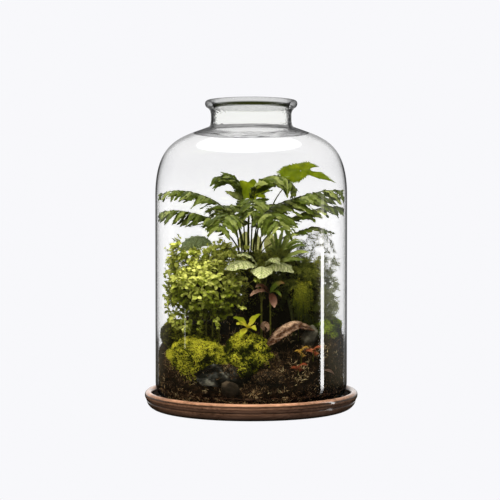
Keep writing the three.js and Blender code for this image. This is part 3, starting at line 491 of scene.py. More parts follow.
PLAIN = {"veins": 0.0, "vein_strength": 0.0}
MOSSY = {**PLAIN, "roughness": 0.75, "grain": 700.0, "sheen": 0.15}
FERN = leaf_material("fern_leaf", "#161c06", "#4e5b1c", "#9aa160", "#869430", 0.36, 0.16, 6.0,
                     vein_strength=0.25, vein_color="#2c3c10", sheen=0.32)
BRIGHT = leaf_material("bright_leaf", "#263408", "#5c6a08", "#949a14", "#acb01c", 0.45, 0.25, 8.0,
                       vein_strength=0.4, vein_color="#3c560c", sheen=0.22)
BUSH = leaf_material("bush_leaf", "#121803", "#7d8a1c", "#e4e684", "#c4cc44", 0.4, 0.26, 4.0,
                     vein_strength=0.2, vein_color="#ccd67c", sheen=0.35)
MOTTLED = leaf_material("mottled_leaf", "#4e6024", "#9cae5a", "#d4dc9c", "#bcc468", 0.4, 0.2, 8.0,
                        vein_strength=0.7, vein_color="#33481c", mottle=430.0, mottle_color="#f2efcc")
PALE = leaf_material("pale_leaf", "#6c7434", "#a8ac68", "#e0dca4", "#dcdc90", 0.4, 0.5, 8.0,
                     vein_strength=0.5, vein_color="#6c7838", mottle=430.0, mottle_color="#f0ecc8")
ROUGH = leaf_material("rough_leaf", "#4c5a3c", "#84946a", "#c4ceac", "#a0b070", 0.55, 0.3, 10.0,
                      vein_strength=0.4, vein_color="#2c3a22", mottle=520.0, mottle_color="#56663e", bump=0.8)
STRAP = leaf_material("strap_leaf", "#1f2a0a", "#667a2a", "#c0ca78", "#a8b450", 0.4, 0.3, 2.0,
                      vein_strength=0.55, vein_color="#bcc890")
RED = leaf_material("red_leaf", "#22100c", "#5e382e", "#c89e8e", "#904a38", 0.3, 0.15, 6.0,
                    vein_color="#8a5648")
RED_GREEN = leaf_material("red_green_leaf", "#26340a", "#5c7420", "#b4785c", "#a8a83c", 0.35, 0.25, 6.0,
                          vein_color="#7c8440")
GOLD = leaf_material("gold_leaf", "#5a3c10", "#a07828", "#d8b060", "#d8a83c", 0.4, 0.25, 6.0,
                     vein_color="#7a5a20")
ORANGE = leaf_material("orange_leaf", "#4a1a0c", "#94472a", "#d08a62", "#c8643c", 0.35, 0.2, 6.0,
                       vein_color="#6a2c1c")
YELLOW = leaf_material("yellow_leaf", "#46560c", "#98a01e", "#e4d054", "#d8d840", 0.4, 0.25, 7.0,
                       vein_strength=0.4, vein_color="#6c7a14")
DRY = leaf_material("dry_leaf", "#120905", "#4a2d20", "#dab49e", "#6a4228", 0.28, 0.04, 11.0, 0.9,
                    vein_strength=0.5, vein_color="#2e1e14", grain=420.0, bump=0.8)
FEATHER = leaf_material("feather_leaf", "#10160a", "#4e5a1c", "#a4a84c", "#8a9630", 0.5, 0.25, **PLAIN)
FEATHER_PALE = leaf_material("feather_pale", "#4c5236", "#868c62", "#bcbf98", "#a0a870", 0.5, 0.3, **PLAIN)
TUFT = leaf_material("tuft_leaf", "#202a04", "#848e18", "#f0e858", "#d4d83c", 0.5, 0.3, **PLAIN)
MOSS = leaf_material("moss", "#0c1006", "#4f5a0d", "#e8e250", "#b0bb25", through=0.18, **MOSSY)
GREEN_MOSS = leaf_material("green_moss", "#10160a", "#627c16", "#b2c63c", "#98b424", through=0.2, **MOSSY)
DARK_MOSS = leaf_material("dark_moss", "#0d0e06", "#474c18", "#9a9c38", "#74802a", through=0.12, **MOSSY)
FERN_STEM = rough_material("fern_stem", [(0.3, "#1c1a0c"), (0.7, "#3c4418")], 300, 0.3,
                           roughness=(0.45, 0.6))
BUSH_STEM = rough_material("bush_stem", [(0.3, "#3a3a14"), (0.7, "#6a6a2c")], 400, 0.3)
# dark bed under the moss shoots; also the painted shade of the dark cores inside the bush and the feathery
# plant
MOSS_BED_AND_SHADE = rough_material("moss_bed_and_shade", [(0.3, "#090704"), (0.55, "#16140a"), (0.8, "#2a2810")], 260, 1.0)
MOSS_EARTH = rough_material("moss_earth", [(0.3, "#0f0c07"), (0.55, "#262010"), (0.8, "#4a4420")], 200,
                            1.0)
SOIL = rough_material("soil", [(0.3, "#060403"), (0.5, "#140c07"), (0.66, "#2a1b11"), (0.8, "#5a4230")],
                      120, 1.0, 10.0, 0.003)
FIBRE = rough_material("dry_fibre", [(0.14, "#120b07"), (0.42, "#423022"), (0.66, "#98785a"),
                                     (0.9, "#f0d8ae")], 300, 0.4, by_tone=0.8)
DARK_STONE = rough_material("dark_stone", [(0.38, "#040404"), (0.48, "#141413"), (0.57, "#3a3b3b"),
                                           (0.74, "#a09e96")], 60, 1.0, distance=0.002,
                            roughness=(0.45, 0.8), distortion=0.6)
BROWN_STONE = rough_material("brown_stone", [(0.3, "#17120e"), (0.5, "#2e2620"), (0.75, "#5a4c40")], 90,
                             0.8, roughness=(0.5, 0.8))
BLACK_STONE = rough_material("black_stone", [(0.3, "#0c0b0a"), (0.55, "#1a1816"), (0.8, "#3a352f")], 70,
                             0.9, distance=0.002, roughness=(0.7, 0.95), sheen=0.15)
GREY_STONE = rough_material("grey_stone", [(0.3, "#1c1b18"), (0.5, "#403d38"), (0.75, "#8a847a")], 110,
                            1.0, roughness=(0.7, 0.95))
# near-black bark: partly the stump's own dark colour, partly painted shade of the hollow behind the plants
BARK_AND_SHADE = rough_material("bark", [(0.3, "#030302"), (0.5, "#0a0806"), (0.72, "#1c1611")], 70, 1.0, 10.0, 0.004,
                      stretch=(1, 1, 0.25), sheen=0.1)

# Painted light on the turned wood by height as a share of TURNED_HEIGHT: painted shade makes a dark foot and
# dark cut lines, a painted highlight makes the bead's crest pale
TURNED_HEIGHT = 0.025
TURNED_PAINTED_LIGHT = [(0.0, 0.12), (0.09, 0.3), (0.2, 0.52), (0.4, 0.66), (0.415, 0.3), (0.455, 0.3),
                (0.47, 0.75), (0.575, 0.8), (0.59, 0.36), (0.615, 0.36), (0.63, 1.0), (0.71, 1.0),
                (0.73, 0.22), (0.79, 0.22), (0.82, 1.4), (1.0, 1.4)]
# Painted shade in the recess inside the bead, by distance from the axis as a share of TURNED_WIDTH
TURNED_WIDTH = 0.14
RECESS_SHADE = [(0.885, 0.12), (0.908, 1.0)]


def wood_material():
    """Turned board: fine long grain, soft growth bands, pores, worn satin wax, with painted shade in the
    recess, on the foot and in the cut lines, and a painted highlight on the bead's crest
    """
    material, tree = new_material("wood")
    bands = tree.noise(60.0, (0.05, 0.6, 1.6), Detail=5.0, Distortion=0.6)
    pores = tree.noise(520.0, (0.045, 1, 1), Detail=6.0)
    blotch = tree.noise(14.0, (0.4, 1, 1), Detail=3.0)
    value = tree.math("ADD", tree.math("MULTIPLY", bands, 0.42), tree.math("MULTIPLY", pores, 0.38))
    value = tree.math("ADD", value, tree.math("MULTIPLY", blotch, 0.2))
    color = tree.ramp(value, [(0.34, "#5d3e30"), (0.48, "#966c59"), (0.58, "#be8c77"), (0.72, "#f0bea6")])
    # painted light by height: shade on the foot and in the cut lines, a highlight on the bead's crest
    lines = tree.ramp(tree.math("DIVIDE", tree.axes()[2], TURNED_HEIGHT), TURNED_PAINTED_LIGHT)
    reach = tree.length(tree.add("TexCoord").outputs["Object"])
    # painted shade: the recess inside the bead is darkened
    recess_shade = tree.ramp(tree.math("DIVIDE", reach, TURNED_WIDTH), RECESS_SHADE)
    tree.surface(tree.add("BsdfPrincipled", {
        "Base Color": tree.multiply(tree.multiply(color, lines), recess_shade),
        "Normal": tree.bump(pores, 0.2, 0.0005),
        "Roughness": tree.ramp(pores, [(0.3, 0.26), (0.7, 0.42)]),
        "Coat Weight": 1.0, "Coat IOR": 2.3, "Coat Roughness": 0.07}))
    return material


# How much light each glass lets through, from faced to seen along its length; the dark edges this gives are
# painted, in place of the dark surroundings that the glass reflects and refracts there
WALL_TINT = [(0.0, 0.99), (0.6, 0.94), (0.68, 0.88), (0.73, 0.72), (0.76, 0.3), (0.8, 0.16), (1.0, 0.12)]
MIDDLE_TINT = [(0.0, 0.994), (0.36, 0.985), (0.48, 0.985), (0.555, 0.97), (0.6, 0.945), (0.68, 0.89),
               (0.752, 0.77), (0.797, 0.62), (0.83, 0.27), (1.0, 0.2)]
SHOULDER_TINT = [(0.0, 0.955), (0.3, 0.955), (0.41, 0.948), (0.53, 0.92), (0.6, 0.9), (0.65, 0.88),
                 (0.7, 0.83), (0.752, 0.73), (0.797, 0.56), (0.83, 0.25), (1.0, 0.2)]
LINING_TINT = [(0.0, 0.995), (0.5, 0.995), (0.8, 0.98), (1.0, 0.9)]
RINGED_TINT = [(0.0, 0.98), (0.5, 0.96), (0.58, 0.84), (0.66, 0.62), (0.8, 0.42), (1.0, 0.2)]
NECK_TINT = [(0.0, 0.985), (0.48, 0.97), (0.57, 0.72), (0.64, 0.25), (0.73, 0.05), (0.82, 0.3), (0.9, 0.7),
             (1.0, 0.8)]
LIP_TINT = [(0.0, 0.84), (0.3, 0.78), (0.5, 0.68), (0.66, 0.5), (0.8, 0.26), (0.9, 0.06), (1.0, 0.03)]
LIP_LINING_TINT = [(0.0, 0.86), (0.5, 0.8), (0.7, 0.5), (0.85, 0.2), (1.0, 0.14)]
NECK_LINING_TINT = [(0.0, 0.995), (0.7, 0.985), (0.85, 0.8), (1.0, 0.6)]
# Heights in metres between which the wall's tint passes into the next one; the darker shoulder tint is partly
# a painted reflection of the darker room above
ZONES = [(0.082, 0.098, MIDDLE_TINT), (0.262, 0.318, SHOULDER_TINT)]
RING_DEPTHS = [(0.42, 1.0), (0.47, 0.25), (0.54, 0.0), (0.6, 0.5)]
# Gloss by height as a share of GLOSS_HEIGHT: duller at the round foot and the waist of the shoulder
GLOSS_HEIGHT = 0.4
DULL_BANDS = [(0.0, 0.1), (0.08, 0.1), (0.1, 1.0), (0.655, 1.0), (0.7, 0.25), (0.775, 0.25), (0.8125, 1.0)]
# A painted dark line inside the far side of the lip, in place of a dark edge that the thick glass refracts:
# its height, its half width and its colour
LIP_PAINTED_LINE = (0.3805, 0.0034, "#343a12")


def wall_glass(name, stops, shine, zones=(), rings=0.0):
    """Clear thin wall: a tint that deepens where the wall is seen along its length, and a shine over it"""
    material, tree = new_material(name)
    facing = tree.facing()
    x, y, z = tree.axes()
    tint = tree.ramp(facing, [(place, (level, level, level * 0.998)) for place, level in stops])
    for low, high, zone_stops in zones:
        other = tree.ramp(facing, [(place, (level, level, level * 0.996)) for place, level in zone_stops])
        rise = tree.add("MapRange", {"Value": z, "From Min": low, "From Max": high},
                     interpolation_type="SMOOTHSTEP")
        tint = tree.mix(tint, other, rise.outputs[0])
    if rings:
        # drawn glass: uneven rings round the foot of the neck, painted as dark bands in place of the streaks
        # that the rings refract
        flat = tree.add("CombineXYZ", {0: x, 1: y}).outputs[0]
        slow = [tree.math("MULTIPLY", axis, 0.06) for axis in (x, y)]
        spread = tree.add("CombineXYZ", {0: tree.length(flat), 1: slow[0], 2: slow[1]}).outputs[0]
        bands = tree.add("TexNoise", {"Scale": 470.0, "Detail": 2.0, "Vector": spread}).outputs["Fac"]
        grey = tree.ramp(bands, [(place, 1 - rings * depth) for place, depth in RING_DEPTHS])
        tint = tree.multiply(tint, grey)
    gloss = tree.ramp(facing, [(0.0, shine), (0.6, shine), (1.0, shine * 1.2)])
    height = tree.add("MapRange", {"Value": z, "From Max": GLOSS_HEIGHT}).outputs[0]
    tree.clear_glass(tint, tree.multiply(gloss, tree.ramp(height, DULL_BANDS)), 0.03,
                  tree.bump(tree.noise(5.0, Detail=0.0), 0.008, 0.002))
    return material


def mouth_glass(name, stops, mottle, line=None, shine=0.12):
    """Glass of the neck and lip: clear when faced, dark and streaky along its sides, the dark streaks painted
    in place of what the thick glass reflects and refracts
    """
    material, tree = new_material(name)
    streaks = tree.noise(230.0, (1, 1, 2.2), Detail=3.0)
    wander = tree.math("MULTIPLY_ADD", streaks, 2 * mottle, -mottle)
    tint = tree.ramp(tree.math("ADD", tree.facing(), wander, clamp=True), [
        (place, (level, level * 1.002, level * 0.99)) for place, level in stops])
    if line:
        # painted dark line, on the far side of the lip only
        height, half, color = line
        _, y, z = tree.axes()
        away = tree.math("DIVIDE", tree.math("ABSOLUTE", tree.math("SUBTRACT", z, height)), half)
        near = tree.math("MULTIPLY", y, -60.0, clamp=True)
        tint = tree.multiply(tint, tree.ramp(tree.math("ADD", away, near), [(0.4, color), (1.0, 1.0)]))
    tree.clear_glass(tint, linear(shine), 0.05, tree.bump(streaks, 0.3, 0.0008))
    return material


# Turned pieces
TRAY_SECTORS = 160
JAR_SECTORS = 144


def lathe(growth, profile, sectors, slots=None):
    """A closed turned solid; profile is (radius, height) from the axis round to the axis"""
    profile = np.asarray(profile, float)
    angles = np.linspace(0, 2 * math.pi, sectors, endpoint=False)
    radius, height = profile[1:-1, 0], profile[1:-1, 1]
    rings = round_axis(angles, radius[:, None], height[:, None])
    rows = len(radius)
    points = np.vstack([rings.reshape(-1, 3), [[0, 0, profile[0, 1]]], [[0, 0, profile[-1, 1]]]])
    index = np.arange(rows * sectors).reshape(rows, sectors)
    after = np.roll(index, -1, axis=1)
    quads = np.stack([index[:-1], after[:-1], after[1:], index[1:]], -1)
    slots = [0] * (rows - 1) if slots is None else slots
    start = growth.count
    growth.add(points, quads[0], slot=slots[0])
    for i in range(1, rows - 1):
        growth.faces.append(quads[i] + start)
        growth.slots.append(np.full(sectors, slots[i]))
    first, last = rows * sectors, rows * sectors + 1
    growth.faces.append(np.stack([after[0], index[0], np.full(sectors, first)], -1) + start)
    growth.faces.append(np.stack([index[-1], after[-1], np.full(sectors, last)], -1) + start)
    growth.slots += [np.full(sectors, slots[0]), np.full(sectors, slots[-1])]


def arc(cx, cz, rx, rz, start, end, count):
    angles = np.radians(np.linspace(start, end, count))
    return np.stack([cx + rx * np.cos(angles), cz + rz * np.sin(angles)], 1)


def bezier(points, count):
    a, b, c, d = (np.array(p, float) for p in points)
    t = np.linspace(0, 1, count)[:, None]
    return (1 - t) ** 3 * a + 3 * (1 - t) ** 2 * t * b + 3 * (1 - t) * t ** 2 * c + t ** 3 * d


def build_tray():
    bead_width, bead_height = 4.6, 5.4
    bead = TRAY_RADIUS - bead_width
    under = bezier([(118.5, 0), (124, 0.4), (130.2, 5), (131, 10.1)], 16)
    profile = np.vstack([
        [[0, 0]], [[60, 0]], [[112, 0]], arc(116.5, 2, 2.0, 2.0, -90, -40, 4),
        under[2:], [[130.5, 10.5]], [[129.7, 11.0]], [[130.6, 11.5]], [[131.4, 11.8]],
        arc(bead, TRAY_HEIGHT - bead_height, bead_width, bead_height, -42, 178, 34),
        [[bead - 4.7, 15]], [[bead - 4.9, 10.5]], [[bead - 5.8, RECESS_FLOOR + 0.2]],
        [[bead - 8, RECESS_FLOOR]], [[60, RECESS_FLOOR]], [[0, RECESS_FLOOR]],
    ])
    growth = Growth()
    lathe(growth, profile, TRAY_SECTORS)
    make_piece("tray", growth, [wood_material()])


def build_jar():
    shoulder = bezier([(JAR_RADIUS, SHOULDER_FOOT), (JAR_RADIUS, SHOULDER_FOOT + 70),
                       (NECK_FOOT[0] + 34, NECK_FOOT[1] - 13.6), NECK_FOOT], 44)
    slope = tangents(shoulder)
    lining = shoulder + WALL * np.stack([-slope[:, 1], slope[:, 0]], 1)
    outer_neck = run_along([NECK_FOOT, (51.4, 357.2), (50.5, 362.5), (50.4, 369), (51.2, 374.2),
                            (53.6, 377.8), (56.4, 380.4), (57.6, 383.2), (57.3, 386), (55.8, 387.6),
                            (53.6, 388)], 46)
    inner_neck = run_along([(53.6, 388), (51.4, 387.4), (49.4, 385), (47.6, 380.6), (46.6, 374), (46.4, 365),
                            (46.9, 358), (49.0, 353.4), (53.4, 350.6)], 34)
    outside, inside, neck, ringed, lip, lip_lining, neck_lining = range(7)
    low, high = 40, SHOULDER_FOOT - 8
    ringed_row, lip_row, lining_row = 35, 32, 10
    sections = [
        (outside, [[0, JAR_BASE], [50, JAR_BASE]]),
        (outside, arc(JAR_RADIUS - CORNER, JAR_BASE + CORNER, CORNER, CORNER, -90, 0, 14)),
        (outside, np.stack([np.full(10, JAR_RADIUS), np.linspace(low, high, 10)], 1)),
        (outside, shoulder[:ringed_row]), (ringed, shoulder[ringed_row:-1]),
        (neck, outer_neck[:lip_row]), (lip, outer_neck[lip_row:]),
        (lip_lining, inner_neck[1:lining_row]), (neck_lining, inner_neck[lining_row:-1]),
        (inside, lining[:-3][::-1]),
        (inside, np.stack([np.full(10, JAR_RADIUS - WALL), np.linspace(high, low, 10)], 1)),
        (inside, arc(JAR_RADIUS - CORNER, JAR_BASE + CORNER, CORNER - WALL, CORNER - WALL, 0, -90, 14)),
        (inside, [[50, JAR_BASE + WALL], [0, JAR_BASE + WALL]]),
    ]
    profile = np.vstack([points for _, points in sections])
    slots = np.concatenate([np.full(len(points), slot) for slot, points in sections])
    growth = Growth()
    lathe(growth, profile, JAR_SECTORS, slots[1:-2])
    make_piece("jar", growth, [
        wall_glass("glass", WALL_TINT, 0.33, ZONES),
        wall_glass("inner_glass", LINING_TINT, 0.01),
        mouth_glass("neck_glass", NECK_TINT, 0.34),
        wall_glass("ringed_glass", RINGED_TINT, 0.05, rings=0.7),
        mouth_glass("lip_glass", LIP_TINT, 0.2),
        mouth_glass("lip_lining", LIP_LINING_TINT, 0.16, LIP_PAINTED_LINE, 0.04),
        mouth_glass("neck_lining", NECK_LINING_TINT, 0.1, shine=0.03)])


NEEDLE = needle_template()
SLIVER = sliver_template()
STRAND = needle_template(0.1, 1.0)


# Ground
def strands(growth, origins, normals, rng, length, spread, tone, width, bend, slot):
    """Curved slim strands that stand or lie on a surface"""
    n = len(origins)
    aim = unit(normals * (1 - spread) + rng.normal(size=(n, 3)) * spread)
    reach = rng.uniform(*length, n)
    size = np.stack([reach, np.full(n, width * 10) * rng.uniform(0.7, 1.4, n), reach * bend], 1)
    ok = inside_glass(origins + aim * reach[:, None], 0.4)
    face = unit(np.cross(aim, rng.normal(size=(n, 3))))
    growth.scatter(STRAND, origins[ok], frames(aim, face)[ok], size[ok], tone[ok], slot)


def soil_height(place):
    """The ground at places in x and y, with clods on the front slope, smoother towards the back"""
    flat = np.column_stack([place, np.zeros(len(place))])
    front = smooth_step(-20, -80, place[:, 1])
    broad = np.abs(bumps(flat, 0.07, 3, 3))
    fine = np.abs(bumps(flat, 0.21, 4, 2))
    return ground_height(place[:, 0], place[:, 1]) + ((0.35 + front) * (7.0 * broad + 4.0 * fine) - 2.2)


def foot_inset(height):
    """How far the round foot of the jar pushes the soil in at a height"""
    corner = CORNER - WALL - 0.5
    depth = np.clip(SOIL_BOTTOM + corner - height, 0, corner)
    return corner - np.sqrt(corner ** 2 - depth ** 2)


def random_places(rng, count, half, limit):
    place = rng.uniform(-half, half, (count, 2))
    return place[np.hypot(place[:, 0], place[:, 1]) < limit]


SOIL_SECTORS = 250
FIBRE_TUFTS = 3400
WALL_FIBRES = 11000
ROCK_FIBRES = 2200
CRUMBS = 2600
STUMP_SHOOTS = 5200


def build_soil():
    rng = np.random.default_rng(5)
    growth = Growth()
    angles = np.linspace(0, 2 * math.pi, SOIL_SECTORS, endpoint=False)
    radii = np.concatenate([np.linspace(3, 50, 16), np.linspace(52, SOIL_RADIUS, 60)])
    surface = round_axis(angles, radii[:, None], 0.0)
    surface[..., 2] = soil_height(surface[..., :2].reshape(-1, 2)).reshape(surface.shape[:2])
    wall = []
    for t in np.linspace(0, 1, 36)[1:]:
        z = mix(surface[-1, :, 2], SOIL_BOTTOM + 0.4, t)
        dents = np.clip(bumps(round_axis(angles, 116, z), 0.12, 8, 3) + 0.15, 0, 1) * 2.6
        wall.append(round_axis(angles, SOIL_RADIUS - 0.1 - foot_inset(z) - dents, z))
    floor = [round_axis(angles, radius, SOIL_BOTTOM) for radius in (70, 5)]
    growth.grid(np.concatenate([surface, np.array(wall), np.array(floor)]), around=True)
    # dry fibres in tufts, thick on the front slope, thin further back
    place = random_places(rng, FIBRE_TUFTS, 114, 113.5)
    dense = 0.16 + 0.84 * smooth_step(-10, -70, place[:, 1])
    place = place[rng.random(len(place)) < dense]
    share = rng.integers(4, 13, len(place))
    patch = bumps(np.column_stack([place, 0 * place[:, 0]]), 0.1, 6, 2)
    tuft_tone = rng.normal(0.42, 0.22, len(place)) + 0.6 * patch
    spots = np.repeat(place, share, axis=0) + rng.normal(size=(share.sum(), 2)) * 1.6
    tone = np.repeat(tuft_tone, share) + rng.normal(0, 0.14, len(spots))
    ok = np.hypot(spots[:, 0], spots[:, 1]) < 114.5
    spots, tone = spots[ok], np.clip(tone[ok], 0, 1)
    origins = np.column_stack([spots, soil_height(spots) - 0.6])
    lean = np.column_stack([rng.normal(0, 0.5, len(spots)), rng.normal(-0.2, 0.5, len(spots)),
                            np.full(len(spots), 0.8)])
    strands(growth, origins, unit(lean), rng, (2.5, 8.0), 0.5, tone, 0.6, 0.6, slot=1)
    # fibres and grains that show against the glass
    turn = rng.uniform(0, 2 * math.pi, WALL_FIBRES)
    edge = ground_height(116 * np.cos(turn), 116 * np.sin(turn))
    z = mix(14.0, edge, rng.random(len(turn)) ** 0.9)
    origins = round_axis(turn, SOIL_RADIUS - foot_inset(z), z)
    tangent = np.column_stack([-np.sin(turn), np.cos(turn), rng.normal(0, 0.9, len(turn))])
    tangent[:, :2] *= rng.choice([-1, 1], (len(turn), 1))
    tone = np.clip(rng.normal(0.34, 0.26, len(turn)) + 0.5 * bumps(origins, 0.09, 7, 2), 0, 1)
    strands(growth, origins, unit(tangent), rng, (1.5, 5.0), 0.06, tone, 0.5, 0.35, slot=1)
    # crumbs of peat and bark
    place = random_places(rng, CRUMBS, 112, 112.5)
    crumb, faces = ball(1)
    template = (crumb * (1 + 0.25 * np.sin(9 * crumb[:, :1] + 5 * crumb[:, 1:2])), faces,
                np.zeros(len(crumb)), np.zeros(len(crumb)))
    n = len(place)
    size = rng.uniform(0.7, 2.6, (n, 1)) * rng.uniform(0.5, 1.2, (n, 3))
    origins = np.column_stack([place, soil_height(place) - 0.3])
    growth.scatter(template, origins, turned_frames(unit(rng.normal(size=(n, 3))), rng), size, rng.random(n))
    make_piece("soil", growth, [SOIL, FIBRE])


def lump(centre, size, detail, seed, rough, fine, facets=0, tilt=0.0, scale=1.6):
    """A stone or cushion: a ball cut by a few planes, with broad and fine unevenness"""
    rng = np.random.default_rng(seed)
    points, faces = ball(detail)
    reach = 1 + rough * bumps(points, scale, seed, 3)
    for _ in range(facets):
        normal = unit(rng.normal(size=3))
        distance = rng.uniform(0.7, 0.9)
        along = points @ normal
        cut = np.where(along > 0.2, distance / np.maximum(along, 0.2), 9)
        reach = np.minimum(reach, cut + 0.02 * bumps(points, 7.0, seed + 5, 2))
    reach = reach + fine * bumps(points, 11.0, seed + 9, 3)
    points = points * reach[:, None] * np.array(size) / 2
    t = math.radians(tilt)
    turned = np.stack([points[:, 0] * math.cos(t) + points[:, 2] * math.sin(t), points[:, 1],
                       -points[:, 0] * math.sin(t) + points[:, 2] * math.cos(t)], 1)
    return turned + np.array(centre), faces


def build_rocks():
    rows = [
        ("rock_large", DARK_STONE, "dark_stone", [-34, -79, 51], [70, 34, 34], 6, 3, 10, -3),
        ("rock_right", BLACK_STONE, "dark_stone", [23, -86, 46], [40, 24, 24], 5, 5, 9, 6),
        ("pebble", BROWN_STONE, "brown_stone", [-26, -103, 37], [27, 15, 20], 5, 8, 3, 24),
        ("rock_back", GREY_STONE, "grey_stone", [73, -36, 95.4], [22, 20, 28.8], 5, 11, 9, 10),
    ]
    for name, material, slot, centre, size, detail, seed, facets, tilt in rows:
        growth = Growth()
        points, faces = lump(centre, size, detail, seed, 0.08, 0.05, facets, tilt)
        chips = 1 + 0.055 * bumps((points - centre) / np.array(size), 9.0, seed + 2, 4)[:, None]
        points = centre + (points - centre) * chips
        growth.add(points, faces)
        if name in ("rock_large", "rock_right"):
            # earth and threads on its shoulder
            rng = np.random.default_rng(71)
            start = -46 if name == "rock_large" else -20
            at, up = surface_sample(points, faces, ROCK_FIBRES, rng, lambda c: (
                (c[:, 2] > centre[2] - 2) * (smooth_step(start, start + 32, c[:, 0]) + 0.06)))
            tone = tones(rng, 0.35, 0.2, len(at))
            strands(growth, at, unit(up + UP), rng, (1.0, 3.4), 0.5, tone, 0.5, 0.5, slot=1)
        make_piece(name, growth, [material, FIBRE])


def stump_section(z):
    """Where the stump's middle is at a height, and its radius there"""
    t = (z - 90) / 100
    return mix(36, -3, t), mix(24, 26, t), mix(37, 18, t)


def build_stump():
    growth = Growth()
    rows, cols = 64, 88
    z = np.linspace(86, 190, rows)[:, None]
    x, y, radius = stump_section(z)
    angles = np.linspace(0, 2 * math.pi, cols, endpoint=False)
    ridge = 1 + 0.09 * np.sin(5 * angles + z / 22) + 0.05 * np.sin(3 * angles - z / 13)
    furrow = bumps(round_axis(angles, radius, z * 0.22).reshape(-1, 3), 0.16, 2, 4).reshape(rows, cols)
    body = round_axis(angles, radius * ridge - 1.0 - 3.2 * np.abs(furrow), z)
    body += np.stack([x, y, 0 * z], -1)
    cap = [body[-1] * [s, s, 1] + np.array([-3, 26, 0]) * [1 - s, 1 - s, 0] + [0, 0, lift]
           for s, lift in ((0.85, 1.0), (0.5, 1.6), (0.05, 1.8))]
    growth.grid(np.concatenate([body, np.array(cap)]), around=True)
    rng = np.random.default_rng(61)
    skin, faces = growth.points[0], growth.faces[0]
    at, up = surface_sample(skin, faces, STUMP_SHOOTS, rng, lambda c: (
        0.12 + smooth_step(150, 188, c[:, 2]) + 0.5 * (c[:, 1] < 20)))
    patch = bumps(at, 0.05, 4, 3)
    keep = patch + 0.9 * smooth_step(140, 186, at[:, 2]) > 0.12
    lean = unit(up + UP * 0.5 + rng.normal(size=(len(at), 3)) * 0.4)
    axes = turned_frames(lean, rng)[keep]
    sizes = rng.uniform(1.6, 3.2, (keep.sum(), 1))
    tone = np.clip(0.3 + 0.5 * bumps(at[keep], 0.2, 6, 2) + rng.normal(0, 0.15, keep.sum()), 0, 1)
    growth.scatter(shoot_template(0.26), at[keep], axes, sizes, tone, slot=1)
    make_piece("stump", growth, [BARK_AND_SHADE, DARK_MOSS])


CUSHIONS = [
    ("moss_centre", MOSS, "moss", [-6, -50, 64], [70, 62, 72], 2, 11500, 2.2, 0.44, 12),
    ("moss_left", MOSS, "moss", [-64, -46, 60], [92, 66, 66], 4, 13500, 2.2, 0.74, 13),
    ("moss_ridge", DARK_MOSS, "dark_moss", [-62, -6, 86], [56, 44, 36], 6, 3600, 2.6, 0.5, 0),
    ("moss_back_left", DARK_MOSS, "dark_moss", [-91, 12, 92], [46, 62, 30], 9, 3600, 3.0, 0.56, 0),
    ("moss_right", GREEN_MOSS, "moss", [96, 0, 96], [40, 70, 40], 12, 5600, 2.4, 0.4, 0),
    ("moss_tuft", MOSS, "moss", [-10, -88, 58], [17, 13, 14], 14, 620, 2.4, 0.42, 0),
]


def build_moss():
    shoots = shoot_template(0.18)
    for name, material, slot, centre, size, seed, count, length, bright, hem in CUSHIONS:
        rng = np.random.default_rng(seed + 100)
        points, faces = lump(centre, size, 6 if count > 5000 else 5, seed, 0.1, 0.04, scale=1.9)
        normal = vertex_normals(points, faces)
        swell = 5.0 * bumps(points, 0.06, seed + 2, 3) + 0.9 * bumps(points, 0.2, seed + 3, 2)
        points = points + normal * swell[:, None]
        flat = np.hypot(points[:, 0], points[:, 1])
        points[:, :2] *= np.where(flat > MOSS_RADIUS, MOSS_RADIUS / flat, 1.0)[:, None]
        above = points[:, 2] - ground_height(points[:, 0], points[:, 1])
        keep = (above[faces] > -3).any(axis=1)
        used = np.unique(faces[keep])
        renumber = np.zeros(len(points), int)
        renumber[used] = np.arange(len(used))
        growth = Growth()
        growth.add(points[used], renumber[faces[keep]], slot=1)
        at, up = surface_sample(points, faces, count, rng, lambda c: (
            c[:, 2] > ground_height(c[:, 0], c[:, 1]) - 1.0))
        # the hem of a front cushion is bare earth with dry threads
        lift = at[:, 2] - ground_height(at[:, 0], at[:, 1]) + 7 * bumps(at, 0.07, seed + 11, 3)
        green = lift + rng.exponential(3.0, count) - 3 > hem
        lean = unit(up + UP * 0.3 + [-0.12, -0.12, 0] + rng.normal(size=(count, 3)) * 0.3)
        high = bumps(at, 0.2, seed + 3, 2)
        patch = bumps(at, 0.045, seed + 7, 2)
        size_each = length * rng.uniform(0.55, 1.2, count) * (1 + 0.2 * high)
        # painted light: shoots on surfaces that face up get a lighter tone, those facing down a darker one
        tone = np.clip(bright + 0.7 * high + 1.3 * patch + rng.normal(0, 0.34, count)
                       + 0.3 * np.clip(up[:, 2] - 0.45, -1, 0.5), 0, 1)
        ok = green & inside_glass(at + lean * size_each[:, None] * 1.2, 0.3)
        growth.scatter(shoots, at[ok], turned_frames(lean, rng)[ok], size_each[ok, None], tone[ok])
        bare = ~green & (rng.random(count) < 0.8)
        aim = unit(up[bare] + rng.normal(size=(bare.sum(), 3)) * 0.5)
        tone = tones(rng, 0.34, 0.24, bare.sum())
        strands(growth, at[bare], aim, rng, (2, 6), 0.4, tone, 0.5, 0.6, slot=2)
        bed = MOSS_EARTH if material is DARK_MOSS else MOSS_BED_AND_SHADE
        make_piece(name, growth, [material, bed, FIBRE])


